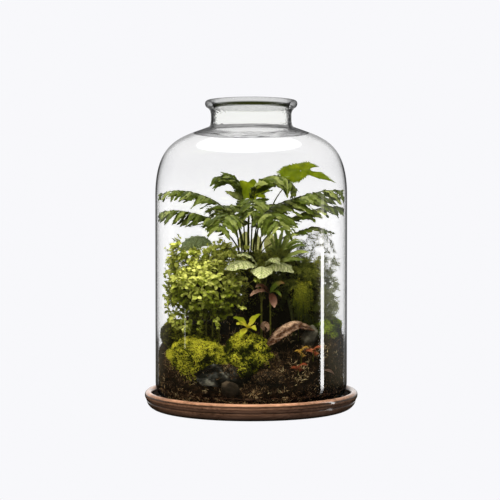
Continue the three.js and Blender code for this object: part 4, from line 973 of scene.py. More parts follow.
# Fern
FRONDS = {
    "upper_left": (11, 22, 0.34, 0.7, [[-15, 25, CROWN], [-17, 26, 214], [-24, 25, 238], [-38, 23, 254],
                                       [-57, 20, 265], [-80, 16, 272], [-98, 12, 273], [-112, 9, 269]]),
    "lower_left": (11, 22, 0.32, 0.85, [[-14, 16, CROWN], [-17, 14, 201], [-28, 8, 218], [-42, 2, 233],
                                        [-57, -4, 242], [-76, -9, 248], [-95, -12, 251], [-111, -14, 249]]),
    "front_left": (9, 24, 0.36, 0.7, [[-8, 13, CROWN], [-10, 10, 206], [-16, -4, 232], [-25, -26, 247],
                                       [-34, -50, 246], [-40, -70, 234]]),
    "front_right": (9, 24, 0.36, 0.72, [[2, 13, CROWN], [4, 9, 208], [12, -8, 236], [22, -30, 249],
                                       [31, -52, 246], [37, -68, 234]]),
    "centre": (8, 20, 0.42, 0.5, [[-3, 21, CROWN], [-3, 20, 225], [-2, 12, 252], [0, -8, 264], [2, -30, 262],
                                  [3, -46, 251]]),
    "upper_right": (11, 29, 0.34, 0.7, [[5, 25, CROWN], [7, 26, 214], [13, 27, 238], [28, 26, 252],
                                        [47, 24, 260], [70, 20, 267], [92, 15, 273], [112, 10, 274]]),
    "lower_right": (11, 23, 0.32, 0.6, [[9, 20, CROWN], [13, 20, 205], [28, 19, 224], [46, 17, 236],
                                        [63, 14, 244], [81, 11, 250], [98, 7, 254], [112, 3, 252]]),
    "short_right": (9, 15, 0.4, 0.35, [[7, 13, CROWN], [14, 10, 198], [34, 7, 212], [56, 4, 221],
                                       [78, 1, 227], [98, -4, 223]]),
    "back_left": (9, 21, 0.38, 0.5, [[-11, 34, CROWN], [-13, 40, 210], [-20, 54, 236], [-28, 70, 247],
                                     [-36, 86, 244], [-42, 97, 234]]),
    "back_right": (9, 21, 0.38, 0.5, [[2, 38, CROWN], [4, 45, 210], [11, 60, 237], [20, 76, 248],
                                      [28, 91, 244], [32, 101, 234]]),
    "tall_left": (11, 20, 0.55, 0.9, [[-8, 29, CROWN], [-9, 30, 225], [-11, 31, 262], [-16, 31, 282],
                                     [-30, 32, 290], [-46, 33, 288]]),
    "tall_right": (11, 22, 0.5, 0.9, [[-1, 31, CROWN], [1, 29, 225], [3, 24, 262], [10, 18, 284],
                                      [28, 14, 292], [46, 12, 287], [58, 11, 274]]),
}
TIP_TAPER = 0.45
FRILL = 1.16
DENSITY = 1.9


def build_frond(name, pairs, leaflet, start, droop, path, seed):
    rng = np.random.default_rng(seed)
    growth = Growth()
    stem(growth, path, 1.15, 0.35, 6, 40, tone=0.4, slot=1)
    fine = run_along(path, 400)
    fine[:, :2] *= 1 + 0.022 * smooth_step(80, 112, np.hypot(fine[:, 0], fine[:, 1]))[:, None]
    along = tangents(fine)
    t = np.linspace(0, 1, 15)
    pairs = round(pairs * DENSITY)
    for pair in range(pairs):
        for side in (1, -1):
            share = (pair + 0.35 + 0.12 * side + rng.uniform(-0.1, 0.1)) / pairs
            at = int(np.clip(mix(start, 1, share) * 399, 0, 399))
            axes = frames(along[at:at + 1], UP[None])[0]
            taper = min(1, 0.66 + 2.2 * share) * (1 - TIP_TAPER * smooth_step(0.5, 1.1, share))
            reach = leaflet * FRILL * taper * rng.uniform(0.85, 1.1)
            sideways = reach * (t - 0.14 * t ** 2)
            forward = reach * (rng.uniform(0.2, 0.75) * t + 0.2 * t ** 2)
            fall = reach * (droop * rng.uniform(0.7, 1.3) * t ** 1.6 - 0.14 * t)
            line = (fine[at] + axes[:, 1] * side * (0.4 + sideways)[:, None] + axes[:, 0] * forward[:, None]
                    - axes[:, 2] * fall[:, None])
            hold_inside(line, 0.9)
            face = unit(axes[:, 2] + rng.normal(size=3) * 0.4)
            width = (0.21 * reach + 1.4) * rng.uniform(0.85, 1.2)
            blade(growth, line, face, width, fold=0.3, curl=-0.42, wave=0.8, waves=2.5, teeth=0.14,
                  base=0.3, tone=tones(rng, 0.44, 0.22), phase=rng.uniform(0, 6), lobes=2.5, shade=0.1,
                  blunt=0.6)
    end = fine[-1] - along[-1] * 2
    line = end + along[-1] * np.linspace(0, 6, 7)[:, None] - UP * (np.linspace(0, 1, 7) ** 2)[:, None] * 1.5
    hold_inside(line, 0.9)
    blade(growth, line, UP, 4.5, teeth=0.15, tone=0.5)
    make_piece("fern_frond_" + name, growth, [FERN, FERN_STEM])


def build_fern():
    for seed, (name, row) in enumerate(FRONDS.items()):
        build_frond(name, *row, seed + 300)


def fan_leaf(growth, centre, across, upward, outline, heart, droop, teeth, tone, steps, seed):
    """A lobed leaf: its outline toothed, its veins running from the heart to the lobes' tips"""
    rings, wave = 9, 1.4
    outline = np.asarray(outline, float)
    heart = np.asarray(heart, float)
    across, upward = unit(across), unit(upward)
    normal = np.cross(across, upward)
    rim = []
    for a, b in zip(outline, np.roll(outline, -1, axis=0)):
        for k in range(steps):
            p = mix(a, b, k / steps)
            push = 1 + (teeth if k % 2 else -teeth * 0.4) * (0 < k < steps)
            rim.append(heart + (p - heart) * push)
    rim = np.array(rim)
    share = np.linspace(0.02, 1, rings)
    flat = heart + (rim[None] - heart) * share[:, None, None]
    rel = flat - heart
    reach = np.linalg.norm(rel, axis=-1)
    far = np.linalg.norm(outline - heart, axis=1)
    to_tip = unit(outline[far > far.mean()] - heart)
    off = np.abs(rel[..., None, 0] * to_tip[:, 1] - rel[..., None, 1] * to_tip[:, 0])
    ahead = (rel[..., None, :] * to_tip).sum(-1)
    near = np.where(ahead > 0, off, 99).min(-1)
    lift = (-droop * reach + wave * np.sin(flat[..., 0] * 0.35 + seed) * np.cos(flat[..., 1] * 0.3 + seed)
            + 0.1 * np.minimum(near, 4))
    points = (np.asarray(centre, float) + flat[..., :1] * across + flat[..., 1:] * upward
              + lift[..., None] * normal)
    tone = tone + 0.3 * bumps(points.reshape(-1, 3), 0.1, seed, 3)
    growth.grid(points, tone, share[:, None], np.clip(near / 8, 0.0, 1), around=True)


def build_lobed_leaves():
    growth = Growth()
    outline = []
    for i in range(72):
        angle = math.pi * i / 36
        lobe = 0.86 + 0.14 * math.cos(9 * angle) + 0.02 * math.sin(3.3 * angle + 1)
        outline.append([24 * lobe * math.cos(angle), 15 * lobe * math.sin(angle)])
    fan_leaf(growth, [-1, 45, 271], [1, 0, 0], [0, 0.45, 0.9], outline, [0, 2], 0.12, 0.07, 0.5, 4, 1)
    stem(growth, [[-4, 39, CROWN], [-4, 43, 225], [-2, 44.5, 270]], 1.0, 0.8, slot=1)
    make_piece("lobed_leaf", growth, [BRIGHT, FERN_STEM])
    growth = Growth()
    outline = [[2, -6], [11, 3], [15, 5], [24, 1], [45, -5], [38, 3], [30, 9.5], [17, 12], [16, 15],
               [26, 19], [20, 23], [15, 26], [4, 25.6], [-11, 22.5], [-17, 21], [-25, 13.6], [-21, 5],
               [-19, 1.6], [-11, -2], [-5, -5.6]]
    fan_leaf(growth, [58, 26, 288], [1, 0, 0.04], [0, 0.72, 0.7], outline, [4, 12], 0.1, 0.12, 0.42, 8, 4)
    stem(growth, [[9, 33, CROWN], [13, 42, 215], [24, 50, 245], [36, 49, 267], [47, 39, 279],
                  [58, 27, 287.6]], 0.9, 0.7, count=30, slot=1)
    make_piece("maple_leaf", growth, [BRIGHT, BUSH_STEM])


# Plants with a few leaves
def rooted(x, y):
    """The foot of a stem, a little below the ground"""
    return [x, y, float(ground_height(x, y)) - 5]


def build_strap():
    growth = Growth()
    rng = np.random.default_rng(31)
    crown = np.array([34.0, -5, 184])
    stem(growth, [rooted(54, -22), [51, -20, 120], [41, -10, 160], crown], 2.0, 1.6, 8, 24, slot=1)
    tips = [[30, -14, 213], [40, -19, 219], [52, -22, 220], [65, -24, 212], [73, -26, 200], [58, -32, 192],
            [34, -18, 206], [46, -26, 204], [60, -22, 221], [70, -20, 208], [22, -16, 206], [38, -10, 222],
            [66, -30, 191], [48, -34, 190], [62, -14, 214], [28, -20, 196], [16, -8, 220], [24, 4, 232],
            [44, 0, 230], [56, -6, 226], [20, -26, 204], [36, -24, 212]]
    for tip in tips:
        tip = np.array(tip, float)
        reach = tip - crown
        line = run_along([crown, crown + reach * [0.35, 0.35, 0.62], crown + reach * [0.7, 0.7, 0.98],
                          tip], 14)
        blade(growth, line, unit([-0.6 * np.sign(reach[0]), -0.6, 0.5]), 6.0, fold=0.35, wave=0.2, widest=0.5,
              tone=tones(rng, 0.58, 0.28), shade=0.2)
    make_piece("strap_plant", growth, [STRAP, FERN_STEM])


def build_mottled():
    growth = Growth()
    stem(growth, [rooted(13, -25), [13, -25, 110], [13, -26, 138]], 1.5, 1.2, 6, 14, slot=1)
    for path in ([[8, -25, 160], [5, -27, 184.5]], [[13, -29, 160], [12, -32, 181.5]],
                 [[18, -24, 160], [20, -25, 181.5]]):
        stem(growth, [[13, -26, 136], *path], 0.9, 0.8, slot=1)
    leaves = [([[6, -27, 184], [-6, -38, 191], [-19, -50, 189], [-31, -60, 181]], 32, 0.4),
              ([[12, -31, 181], [13, -42, 184], [13, -54, 180], [11, -64, 171]], 28, 0.6),
              ([[19, -25, 181], [30, -28, 187], [42, -32, 185], [53, -37, 176]], 31, 0.42),
              ([[8, -26, 184], [0, -32, 196], [-9, -38, 200], [-20, -42, 198]], 17, 0.5),
              ([[18, -24, 183], [24, -32, 193], [30, -40, 194], [36, -46, 187]], 19, 0.5)]
    for path, width, tone in leaves:
        blade(growth, run_along(path, 26), unit([0, -0.25, 1]), width, fold=-0.22, curl=-0.1, wave=0.9,
              waves=4, cols=13, teeth=0.015, tone=tone, shade=0.3, crumple=0.7)
    make_piece("mottled_plant", growth, [MOTTLED, BUSH_STEM])
    growth = Growth()
    stem(growth, [rooted(4, 70), [4, 70, 145], [4, 66, 162]], 1.5, 1.2, slot=1)
    for path in ([[-3, 62, 178], [-7, 58, 194]], [[12, 62, 178], [20, 57, 192]],
                 [[5, 66, 176], [6, 63, 188]]):
        stem(growth, [[4, 66.5, 160], *path], 0.9, 0.7, slot=1)
    for path in ([[-7, 58, 192], [-9, 57, 202], [-8, 55, 211], [-6, 52, 218]],
                 [[20, 57, 190], [23, 56, 200], [24, 54, 209], [22, 51, 217]],
                 [[6, 63, 186], [7, 63, 196], [7, 61, 206], [8, 58, 214]]):
        blade(growth, run_along(path, 18), unit([0, -1, 0.3]), 15, fold=0.2, wave=0.5, cols=9, tone=0.6,
              shade=0.3)
    make_piece("pale_leaves", growth, [PALE, BUSH_STEM])
    growth = Growth()
    stem(growth, [rooted(-58, 38), [-58, 38, 125], [-56, 34, 170], [-50, 28, 205.4]], 1.3, 1.0, slot=1)
    blade(growth, run_along([[-49, 28, 205], [-61, 27, 213], [-76, 25, 211], [-91, 22, 196]], 30),
          unit([0, -0.35, 1]), 38, fold=-0.28, curl=-0.12, wave=1.1, waves=7, cols=15, teeth=0.03, tone=0.72,
          shade=0.4, crumple=1.0)
    make_piece("dome_leaf", growth, [ROUGH, BUSH_STEM])


def build_small_plants():
    growth = Growth()
    heart = np.array([23.0, -36, 150])
    stem(growth, [rooted(24, -36), [24, -36, 100], [24, -37, 128], heart], 1.2, 0.9, slot=2)
    rows = [([5, -44, 158], 10, 0.4, 0), ([-2, -46, 147], 8, 0.8, 0), ([29, -48, 133], 10, 0.45, 0),
            ([42, -36, 162], 10, 0.5, 1), ([38, -46, 146], 5, 0.2, 1), ([12, -50, 152], 8, 0.4, 0)]
    for tip, width, tone, slot in rows:
        reach = np.array(tip, float) - heart
        line = run_along([heart, heart + reach * 0.35 + UP * 4, heart + reach * 0.7 + UP * 4, tip], 14)
        blade(growth, line, unit([0, -0.5, 1]), width, fold=0.3, wave=0.4, widest=0.55,
              tone=np.repeat(tone - 0.25 + 0.75 * np.linspace(0, 1, 14) ** 2, 7), slot=slot, cols=7)
    make_piece("red_rosette", growth, [RED, RED_GREEN, BUSH_STEM])
    growth = Growth()
    heart = np.array([-4.0, -54, 108])
    stem(growth, [[-4, -54, 88], [-4, -54, 98], heart], 1.2, 0.9, slot=1)
    for tip, tone, width in (([-23, -58, 122], 0.35, 10), ([-19, -66, 114], 0.75, 9),
                             ([12, -58, 126], 0.5, 10), ([-14, -70, 98], 0.6, 8),
                             ([6, -70, 107], 0.65, 8), ([-2, -66, 112], 0.9, 7)):
        reach = np.array(tip, float) - heart
        line = run_along([heart, heart + reach * 0.4 + UP * 2.5, heart + reach * 0.75 + UP * 2, tip], 14)
        blade(growth, line, unit([0, -0.6, 1]), width, fold=0.35, wave=0.35, widest=0.55, cols=7, lobes=2.0,
              tone=np.repeat(tone + 0.35 - 0.55 * np.linspace(0, 1, 14), 7), crumple=0.4)
    make_piece("yellow_plant", growth, [YELLOW, BUSH_STEM])
    growth = Growth()
    stem(growth, [[17, -50, 88], [17, -50, 96], [17, -50, 105]], 0.9, 0.8, tone=0.3)
    line = run_along([[17, -50, 104], [14, -51, 110], [18, -53, 113], [21, -55, 108], [19, -57, 104]], 20)
    blade(growth, line, unit([0.4, -1, 0.4]), 7, fold=0.1, curl=0.25, cols=7, tone=0.58, shade=0.3,
          crumple=0.3)
    make_piece("brown_curl", growth, [DRY])
    growth = Growth()
    line = run_along([[18.4, -61.8, 85.4], [25, -59, 97], [37, -56, 110], [54, -51, 117], [69, -46, 112],
                      [80, -42, 103]], 60)
    across = np.linspace(-1, 1, 21)[None]
    along = np.linspace(0, 1, 60)[:, None]
    lit = 0.38 + 0.36 * np.sin(math.pi * along) * (1 - np.abs(across)) - 0.16 * (across > 0) + 0 * along
    spots = np.stack(np.broadcast_arrays(along * 90, across * 9, 0 * along), -1).reshape(-1, 3)
    lit = lit.ravel() + 0.3 * bumps(spots * [0.25, 1, 1], 0.35, 6, 4)
    blade(growth, line, unit([-0.1, -0.35, 1]), 27, fold=-0.42, curl=-0.12, wave=0.35, waves=9, cols=21,
          teeth=0.012, tone=lit, crumple=1.0)
    make_piece("dried_leaf", growth, [DRY])
    seedlings = [("seedling_yellow", GOLD, "yellow_leaf", (62, -68), 24, 9, 6, 0.5),
                 ("seedling_brown", ORANGE, "dry_leaf", (58, -82), 17, 11, 6, 0.16),
                 ("seedling_red", ORANGE, "red_leaf", (77, -66), 20, 11, 6, 0.5)]
    for seed, (name, material, slot, foot, height, spread, leaves, tone) in enumerate(seedlings):
        rng = np.random.default_rng(seed + 50)
        growth = Growth()
        ground = float(ground_height(*foot))
        stem(growth, [[*foot, ground - 4], [*foot, ground + 3], [foot[0] + 1, foot[1] - 1, ground + height]],
             0.8, 0.5, slot=1)
        for i in range(leaves):
            angle = 2 * math.pi * i / leaves + rng.random()
            level = mix(0.55, 1, i / (leaves - 1))
            start = np.array([foot[0] + level, foot[1] - level, ground + height * level - 0.6])
            out = np.array([math.cos(angle), math.sin(angle), 0]) * spread
            line = run_along([start, start + out * 0.35 + UP * 2, start + out * 0.7 + UP * 2.6,
                              start + out + UP], 10)
            blade(growth, line, unit([0, -0.3, 1]), spread * 0.55, fold=0.2,
                  tone=tone + rng.uniform(-0.15, 0.2))
        make_piece(name, growth, [material, BUSH_STEM])


# Bush
BUSH_CENTRE = np.array([-54.0, -30, 154])
BUSH_HALF = np.array([49.0, 32, 39])
BUSH_SPRIGS = 520


def clear_of_stump(points, margin):
    x, y, radius = stump_section(points[:, 2])
    return np.hypot(points[:, 0] - x, points[:, 1] - y) > radius * 1.1 + margin


def build_bush():
    rng = np.random.default_rng(2024)
    growth = Growth()
    # a dark lump of painted shade inside the bush, filling the gaps between the sprigs
    shade_core, faces = lump(BUSH_CENTRE, BUSH_HALF * 1.42, 4, 21, 0.12, 0.05)
    growth.add(shade_core, faces, slot=2)
    template = leaf_template(6, 3, 0.74, 0.34, 0.25, 0.42)
    leaves = {"at": [], "aim": [], "face": [], "size": [], "tone": []}

    def sprig(path, pairs, size, tone, radius=0.4):
        line = stem(growth, path, radius, radius * 0.5, 4, 10, slot=1)
        along = tangents(line)
        for k in range(pairs):
            share = mix(0.3, 1.0, (k + 0.5) / pairs)
            i = int(share * 9)
            turn = rng.normal(size=3)
            side = unit(np.cross(along[i], UP * 0.8 + turn * 0.45))
            for hand in (1, -1):
                leaves["at"].append(line[i])
                leaves["aim"].append(unit(side * hand + along[i] * 0.45 + rng.normal(size=3) * 0.22))
                leaves["face"].append(unit(UP * 0.8 + [0, -0.3, 0] + along[i] * 0.25
                                           + rng.normal(size=3) * 0.35))
                leaves["size"].append(size * rng.uniform(0.75, 1.15) * (1 - 0.3 * share))
                leaves["tone"].append(tone + 0.25 * share + rng.normal(0.1, 0.26))

    directions = unit(rng.normal(size=(BUSH_SPRIGS, 3)))
    for direction in directions:
        if direction[2] < -0.5 and rng.random() < 0.5:
            continue
        start = BUSH_CENTRE + direction * BUSH_HALF * 0.42
        reach = rng.uniform(0.92, 1.1)
        end = BUSH_CENTRE + direction * BUSH_HALF * reach + UP * rng.uniform(-5, 4)
        middle = mix(start, end, 0.55) + UP * 4
        # painted light: sprigs that end higher get a lighter tone, lower ones a darker one
        level = (end[2] - 112) / 85
        sprig([start, middle, end], 4, rng.uniform(6.4, 10.2), 1.15 * level - 0.3)
    def upright(foot, bend, height, pairs, tone):
        middle = foot + rng.normal(size=3) * [3, 3, 2] + UP * bend
        sprig([foot, middle, foot + rng.normal(size=3) * [6, 5, 3] + UP * height], pairs, 8.0, tone)

    # upright sprigs near the crown, then along the top
    for _ in range(26):
        upright(rng.normal(size=3) * [12, 7, 4] + [-32, -16, 178], 12, 22, 5, 0.45)
    for _ in range(64):
        foot = np.array([rng.uniform(-100, -24), rng.uniform(-34, -2), rng.uniform(178, 204)])
        upright(foot, 6, 11, 4, 0.52)
    # sprigs that reach for the glass, then for the mottled leaves
    for _ in range(34):
        foot = np.array([rng.uniform(-92, -84), rng.uniform(-18, 4), rng.uniform(130, 192)])
        sprig([foot, foot + [-8, 0, 3], foot + [-17, 0, rng.uniform(-4, 8)]], 4, 7.5, 0.34)
    for _ in range(20):
        foot = rng.normal(size=3) * [8, 5, 8] + [-14, -40, 152]
        sprig([foot, foot + [6, -4, 4], foot + [12, -6, 1] + rng.normal(size=3) * 4], 4, 8.0, 0.42)
    long_sprigs = [
        [[-86, -28, 186], [-97, -26, 202], [-99, -24, 212]],
        [[-80, -30, 186], [-98, -32, 197], [-107, -30, 184]],
        [[-88, -34, 136], [-97, -36, 122], [-92, -40, 106]],
        [[-80, -38, 128], [-86, -42, 112], [-84, -44, 100]],
        [[-74, -40, 126], [-78, -46, 112], [-80, -48, 102]],
        [[-96, -30, 146], [-104, -30, 130], [-98, -34, 112]],
        [[-88, -26, 170], [-104, -24, 176], [-110, -22, 168]],
        [[-66, -50, 124], [-62, -58, 112], [-66, -60, 104]],
        [[-94, -24, 136], [-101, -22, 118], [-94, -20, 102]],
        [[-90, -18, 132], [-88, -20, 116], [-96, -22, 104]],
        [[-48, -52, 126], [-42, -58, 116], [-40, -60, 108]]]
    # painted shade: the hanging sprigs under the middle of the bush get a darker tone than those at its left
    # side
    for path in long_sprigs:
        sprig(path, 7, 7.0, 0.3 if path[0][0] < -70 else 0.08, 0.5)
    at, aim, face, size = (np.array(leaves[key]) for key in ("at", "aim", "face", "size"))
    tone = np.clip(np.array(leaves["tone"]) + 0.22 * bumps(at, 0.05, 17, 2), 0, 1)
    tips = at + aim * size[:, None]
    ok = clear_of_stump(tips, 2) & inside_glass(tips, 2.0) & clear_of_stump(at, 2) & inside_glass(at, 2.0)
    # room for the mottled leaves, the red rosette and the domed leaf
    ok &= ~((at[:, 0] > -38) & (at[:, 2] > 172) & (at[:, 1] < -36))
    ok &= ~((at[:, 0] > -13) & (at[:, 2] > 139) & (at[:, 2] < 168) & (at[:, 1] < -28))
    ok &= ~((at[:, 0] > -90) & (at[:, 0] < -58) & (at[:, 2] > 201))
    growth.scatter(template, at[ok], frames(aim, face)[ok], size[ok, None], tone[ok])
    for x, y in ((-76, -26), (-56, -32), (-40, -24), (-66, -20), (-48, -38), (-84, -34)):
        stem(growth, [rooted(x, y), [x, y, 112], [x + 2, y, 140]], 1.1, 0.8, 6, 10, slot=1)
    make_piece("bush", growth, [BUSH, BUSH_STEM, MOSS_BED_AND_SHADE])


# Feathery plant
FEATHER_TWIGS = 210
TUFT_THREADS = 150


def feather_spray(growth, path, start, reach, rng, pairs, tone, needle, radius, thick, template=NEEDLE):
    """A thin stem with fine side twigs that carry needles all round"""
    fine = run_along(path, 300)
    stem(growth, path, radius, 0.25, 4, 12, tone=0.2)
    along = tangents(fine)
    for k in range(pairs * 2):
        share = (k // 2 + rng.uniform(0, 0.8)) / pairs
        at = int(np.clip(mix(start, 1, share) * 299, 0, 299))
        axes = frames(along[at:at + 1], unit(rng.normal(size=(1, 3)) + UP))[0]
        side = 1 if k % 2 else -1
        size = reach * rng.uniform(0.5, 1.1) * (1 - 0.6 * smooth_step(0.4, 1.05, share))
        t = np.linspace(0, 1, 6)[:, None]
        line = (fine[at] + axes[:, 1] * side * size * t + axes[:, 0] * size * 0.7 * t
                - UP * size * 0.3 * t ** 2)
        hold_inside(line, 3)
        stem(growth, line, 0.12, 0.06, 3, 3, tone=0.4)
        n = int(10 + thick * size)
        where = rng.uniform(0, 5, n)
        low = where.astype(int)
        spots = mix(line[low], line[np.minimum(low + 1, 5)], (where - low)[:, None])
        aim = unit(rng.normal(size=(n, 3)) + unit(line[-1] - line[0]) * 1.2)
        sizes = rng.uniform(0.5, 1.3, n) * needle
        ok = inside_glass(spots + aim * sizes[:, None], 1.0)
        growth.scatter(template, spots[ok], turned_frames(aim, rng)[ok], sizes[ok, None],
                       tones(rng, tone, 0.2, ok.sum()))


def build_feathers():
    rng = np.random.default_rng(77)
    growth = Growth()
    for seed, (centre, size) in enumerate((([71, 11, 150], [36, 26, 66]), ([50, 2, 150], [32, 16, 76]),
                                           ([76, 2, 118], [36, 22, 30]), ([30, 2, 190], [26, 14, 26]))):
        # dark lumps of painted shade inside the feathery plant, filling the gaps between the twigs
        shade_core, faces = lump(centre, size, 3, 31 + seed, 0.16, 0.1)
        growth.add(shade_core, faces, tone=0.0, slot=1)
    stem(growth, [rooted(80, 12), [80, 12, 115], [77, 11, 140]], 2.0, 1.5, tone=0.1)
    clumps = [([71, 6, 152], [16, 10, 32]), ([51, -9, 152], [14, 5, 34]), ([29, -7, 188], [15, 5, 12]),
              ([76, -6, 122], [16, 9, 14]), ([60, -6, 176], [26, 8, 14])]
    for k in range(FEATHER_TWIGS):
        direction = unit(np.array([math.cos(k * 2.4), math.sin(k * 2.4), rng.uniform(-0.9, 1.1)]))
        middle, spread = clumps[k % 5]
        origin = np.array(middle) + direction * spread * rng.uniform(0.15, 1) ** 0.5
        tip = origin + direction * rng.uniform(8, 14) + UP * rng.uniform(-8, 4)
        if not inside_glass(tip[None], 3)[0] or not clear_of_stump(tip[None], 1)[0]:
            continue
        # painted light: twigs that end higher get a lighter tone
        tone = np.clip((tip[2] - 116) / 100 + rng.uniform(-0.15, 0.35), 0, 0.95)
        feather_spray(growth, [origin, mix(origin, tip, 0.5) + UP * 2, tip], 0.1, 6.0, rng, 7, tone, 3.4, 0.3,
                      5.0, SLIVER)
    make_piece("feather_body", growth, [FEATHER, MOSS_BED_AND_SHADE])
    sprays = {
        "feather_arch": (0.34, 12, [[[70, 44, 96], [70, 44, 130], [66, 40, 185], [72, 36, 212], [88, 30, 218],
                                     [101, 24, 209], [104, 18, 196]],
                                    [[70, 44, 130], [62, 40, 176], [56, 36, 204], [50, 32, 213]],
                                    [[70, 44, 130], [78, 38, 170], [90, 32, 190], [97, 26, 197]],
                                    [[70, 44, 130], [72, 40, 180], [80, 36, 200], [92, 30, 204]],
                                    [[70, 44, 130], [64, 38, 180], [62, 34, 200], [68, 30, 206]]]),
        "feather_side": (0.25, 10, [[[93, 36, 96], [93, 36, 120], [96, 32, 150], [100, 23, 176],
                                     [105, 12, 186], [108, 2, 180]],
                                    [[93, 36, 120], [98, 26, 150], [104, 12, 160], [107, 2, 150]],
                                    [[93, 36, 120], [90, 26, 160], [92, 14, 184], [96, 4, 190]],
                                    [[93, 36, 120], [94, 28, 150], [97, 14, 172], [101, 2, 172]],
                                    [[93, 36, 120], [96, 24, 136], [100, 8, 140], [104, -6, 130]]]),
        "feather_low": (0.25, 8, [[[97, -16, 92], [97, -16, 112], [99, -17, 132], [102, -20, 150],
                                   [106, -25, 160]],
                                  [[97, -16, 112], [94, -20, 130], [92, -24, 146], [90, -28, 154]],
                                  [[97, -16, 106], [101, -20, 124], [105, -26, 136], [106, -32, 128]]]),
    }
    for name, (start, reach, paths) in sprays.items():
        growth = Growth()
        for i, path in enumerate(paths):
            foot, pairs = (0.2, 26) if i else (start, 36)
            feather_spray(growth, path, foot, reach, rng, pairs, 0.5, 3.6, 0.4, 2.6)
        make_piece(name, growth, [FEATHER_PALE])


def build_tuft():
    rng = np.random.default_rng(99)
    growth = Growth()
    stem(growth, [rooted(59, -30), [59, -30, 112], [60, -31, 130], [63, -33, 150]], 0.9, 0.7, tone=0.0)
    for _ in range(TUFT_THREADS):
        angle = rng.uniform(0, 2 * math.pi)
        out = np.array([math.cos(angle), 0.8 * math.sin(angle), 0])
        start = np.array([64, -33, 152]) + rng.normal(size=3) * [4.0, 2.5, 6]
        reach = rng.uniform(2, 10)
        fall = rng.uniform(6, 34)
        lively = rng.normal(0, 0.26)
        path = [start, start + out * reach * 0.7 + UP * 2.5, start + out * reach - UP * fall * 0.45,
                start + out * reach * 1.1 - UP * fall]
        line = stem(growth, path, 0.16, 0.08, 3, 9, tone=0.2)
        n = 18
        spots = line[rng.integers(1, 9, n)] + rng.normal(size=(n, 3)) * 0.4
        aim = unit(rng.normal(size=(n, 3)) * 0.7 + out * 0.3 - UP * 0.8)
        # painted light: needles higher on the tuft get a lighter tone, lower ones a darker one
        height = np.clip((spots[:, 2] - 124) / 34, 0, 1)
        growth.scatter(NEEDLE, spots, turned_frames(aim, rng), rng.uniform(1.6, 3.2, (n, 1)),
                       np.clip(0.1 + 0.75 * height ** 1.3 + lively + rng.normal(0, 0.14, n), 0, 1))
    make_piece("hanging_tuft", growth, [TUFT])


def build_twig():
    """A dead reddish shoot that lies against the glass"""
    growth = Growth()
    line = run_along([[math.cos(a) * 116.2, math.sin(a) * 116.2, z] for a, z in (
        (-0.68, 58), (-0.61, 57), (-0.53, 54), (-0.46, 49.5))], 16)
    blade(growth, line, unit([0.86, -0.5, 0.1]), 3.8, fold=0.2, wave=0.3, widest=0.4, tone=0.8)
    make_piece("red_twig", growth, [RED], added=True)


# Stage: pale floor, studio light and camera
FLOOR_SHEEN = [(0.04, (0.009, 0.008, 0.005)), (0.12, (0.034, 0.028, 0.016)), (0.3, (0.1, 0.086, 0.056)),
               (0.6, (0.105, 0.103, 0.095)), (1.0, (0.125, 0.125, 0.122))]
WORLD_SHEEN = [(0.5, 0.01), (0.6, 0.04), (0.75, 0.12), (0.9, 0.24), (0.955, 0.5), (0.985, 0.95)]
WORLD_SEEN = [(0.08, (0.94, 0.94, 0.96)), (0.25, 0.3), (0.6, 0.04)]
FILL = (0.215, 0.215, 0.16)


def seen_rays(tree):
    """The kinds of ray: seen straight or through a leaf, scattered, and through a leaf alone"""
    rays = tree.add("LightPath").outputs
    through = rays["Is Transmission Ray"]
    return tree.math("MAXIMUM", rays["Is Camera Ray"], through), rays["Is Diffuse Ray"], through


def build_floor():
    material, tree = new_material("floor")
    seen, scattered, _ = seen_rays(tree)
    x, y, _ = tree.axes()
    bounce = tree.mix(tree.ramp(tree.math("MULTIPLY_ADD", x, 0.22, y), FLOOR_SHEEN), linear(0.2), scattered)
    tree.surface(tree.add("Emission", {"Color": tree.mix(bounce, srgb("#f8f8fb"), seen)}))
    bpy.ops.mesh.primitive_circle_add(vertices=96, radius=40, fill_type="NGON", location=(0, 0, -0.0005))
    floor = bpy.context.object
    floor.name = "floor"
    floor.data.materials.append(material)


def build_world():
    world = bpy.data.worlds.new("studio")
    bpy.context.scene.world = world
    world.use_nodes = True
    tree = NodeTree(world.node_tree)
    seen, scattered, through = seen_rays(tree)
    _, y, z = tree.axes("Generated")
    depth = tree.math("MULTIPLY_ADD", y, 0.5, 0.5)
    sides = tree.mix(linear(1.0), tree.ramp(depth, [(0.6, 0.05), (0.85, 1.0)]), through)
    color = tree.mix(tree.mix(tree.ramp(depth, WORLD_SHEEN), linear(FILL), scattered),
                  tree.multiply(tree.ramp(z, WORLD_SEEN), sides), seen)
    tree.surface(tree.add("Background", {"Color": color}), "OutputWorld")


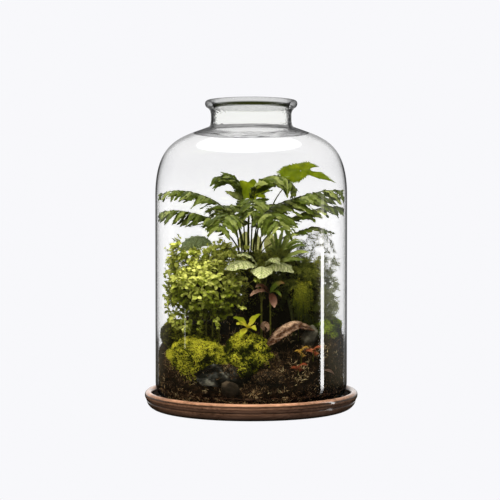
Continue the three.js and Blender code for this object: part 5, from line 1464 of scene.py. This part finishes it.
# Lights: name, place, target, width, height, radiance, glossy, diffuse, colour
WHITE = (1, 1, 1)
LIGHTS = [
    ("top_softbox", (-0.045, 0.72, 1.34), (-0.045, 0.7201, 0.3), 1.22, 1.6, 0.75, True, False, WHITE),
    ("top_key", (-0.2, -0.25, 1.36), (0, 0, 0.2), 1.0, 0.8, 12.0, False, True, (0.98, 0.965, 0.76)),
    ("front_key", (-0.6, -1.25, 0.85), (0, 0, 0.16), 0.9, 0.8, 5.2, False, True, (0.98, 0.945, 0.74)),
    ("back_glow", (0.1, 1.4, 0.7), (0, 0, 0.2), 1.2, 0.9, 3.0, False, True, (0.98, 0.975, 0.78)),
    ("right_strip", (0.19, -0.0717, 0.086), (0.088, -0.0822, 0.094), 0.0135, 0.223, 2.6, True, False, WHITE),
    ("right_faint", (0.19, -0.0717, 0.235), (0.088, -0.0822, 0.243), 0.0135, 0.08, 0.5, True, False,
     (1.0, 0.96, 0.84)),
    ("left_faint", (-0.182, -0.0925, 0.099), (-0.0825, -0.0871, 0.107), 0.003, 0.05, 0.7, True, False, WHITE),
]


def link(name, data):
    made = bpy.data.objects.new(name, data)
    bpy.context.scene.collection.objects.link(made)
    return made


def aim(made, place, target):
    made.location = place
    made.rotation_euler = (Vector(target) - Vector(place)).to_track_quat("-Z", "Y").to_euler()


def build_lights():
    for name, place, target, width, height, radiance, glossy, diffuse, color in LIGHTS:
        data = bpy.data.lights.new(name, "AREA")
        data.shape = "ELLIPSE" if name == "top_softbox" else "RECTANGLE"
        data.size, data.size_y = width, height
        data.energy = radiance * math.pi * width * height
        data.color = color
        light = link(name, data)
        aim(light, place, target)
        light.visible_camera = False
        light.visible_glossy = light.visible_transmission = glossy
        light.visible_diffuse = diffuse


LENS = 460
CAMERA_TILT = math.radians(6.5)
CAMERA_DISTANCE = 8
CAMERA_TARGET = Vector((-0.0015, 0, 0.200))


def build_camera():
    data = bpy.data.cameras.new("camera")
    data.lens = LENS
    data.sensor_width = 36
    data.clip_end = 200
    camera = link("camera", data)
    back = Vector((0, -CAMERA_DISTANCE * math.cos(CAMERA_TILT), CAMERA_DISTANCE * math.sin(CAMERA_TILT)))
    aim(camera, CAMERA_TARGET + back, CAMERA_TARGET)
    bpy.context.scene.camera = camera


for build in (build_tray, build_jar, build_soil, build_rocks, build_stump, build_moss, build_fern,
              build_lobed_leaves, build_strap, build_mottled, build_small_plants, build_bush, build_feathers,
              build_tuft, build_twig, build_floor, build_world, build_lights, build_camera):
    build()

view = bpy.context.scene.view_settings
view.view_transform = "Standard"
view.look = "None"
view.exposure = 0.0
bpy.context.scene.cycles.transparent_max_bounces = 24
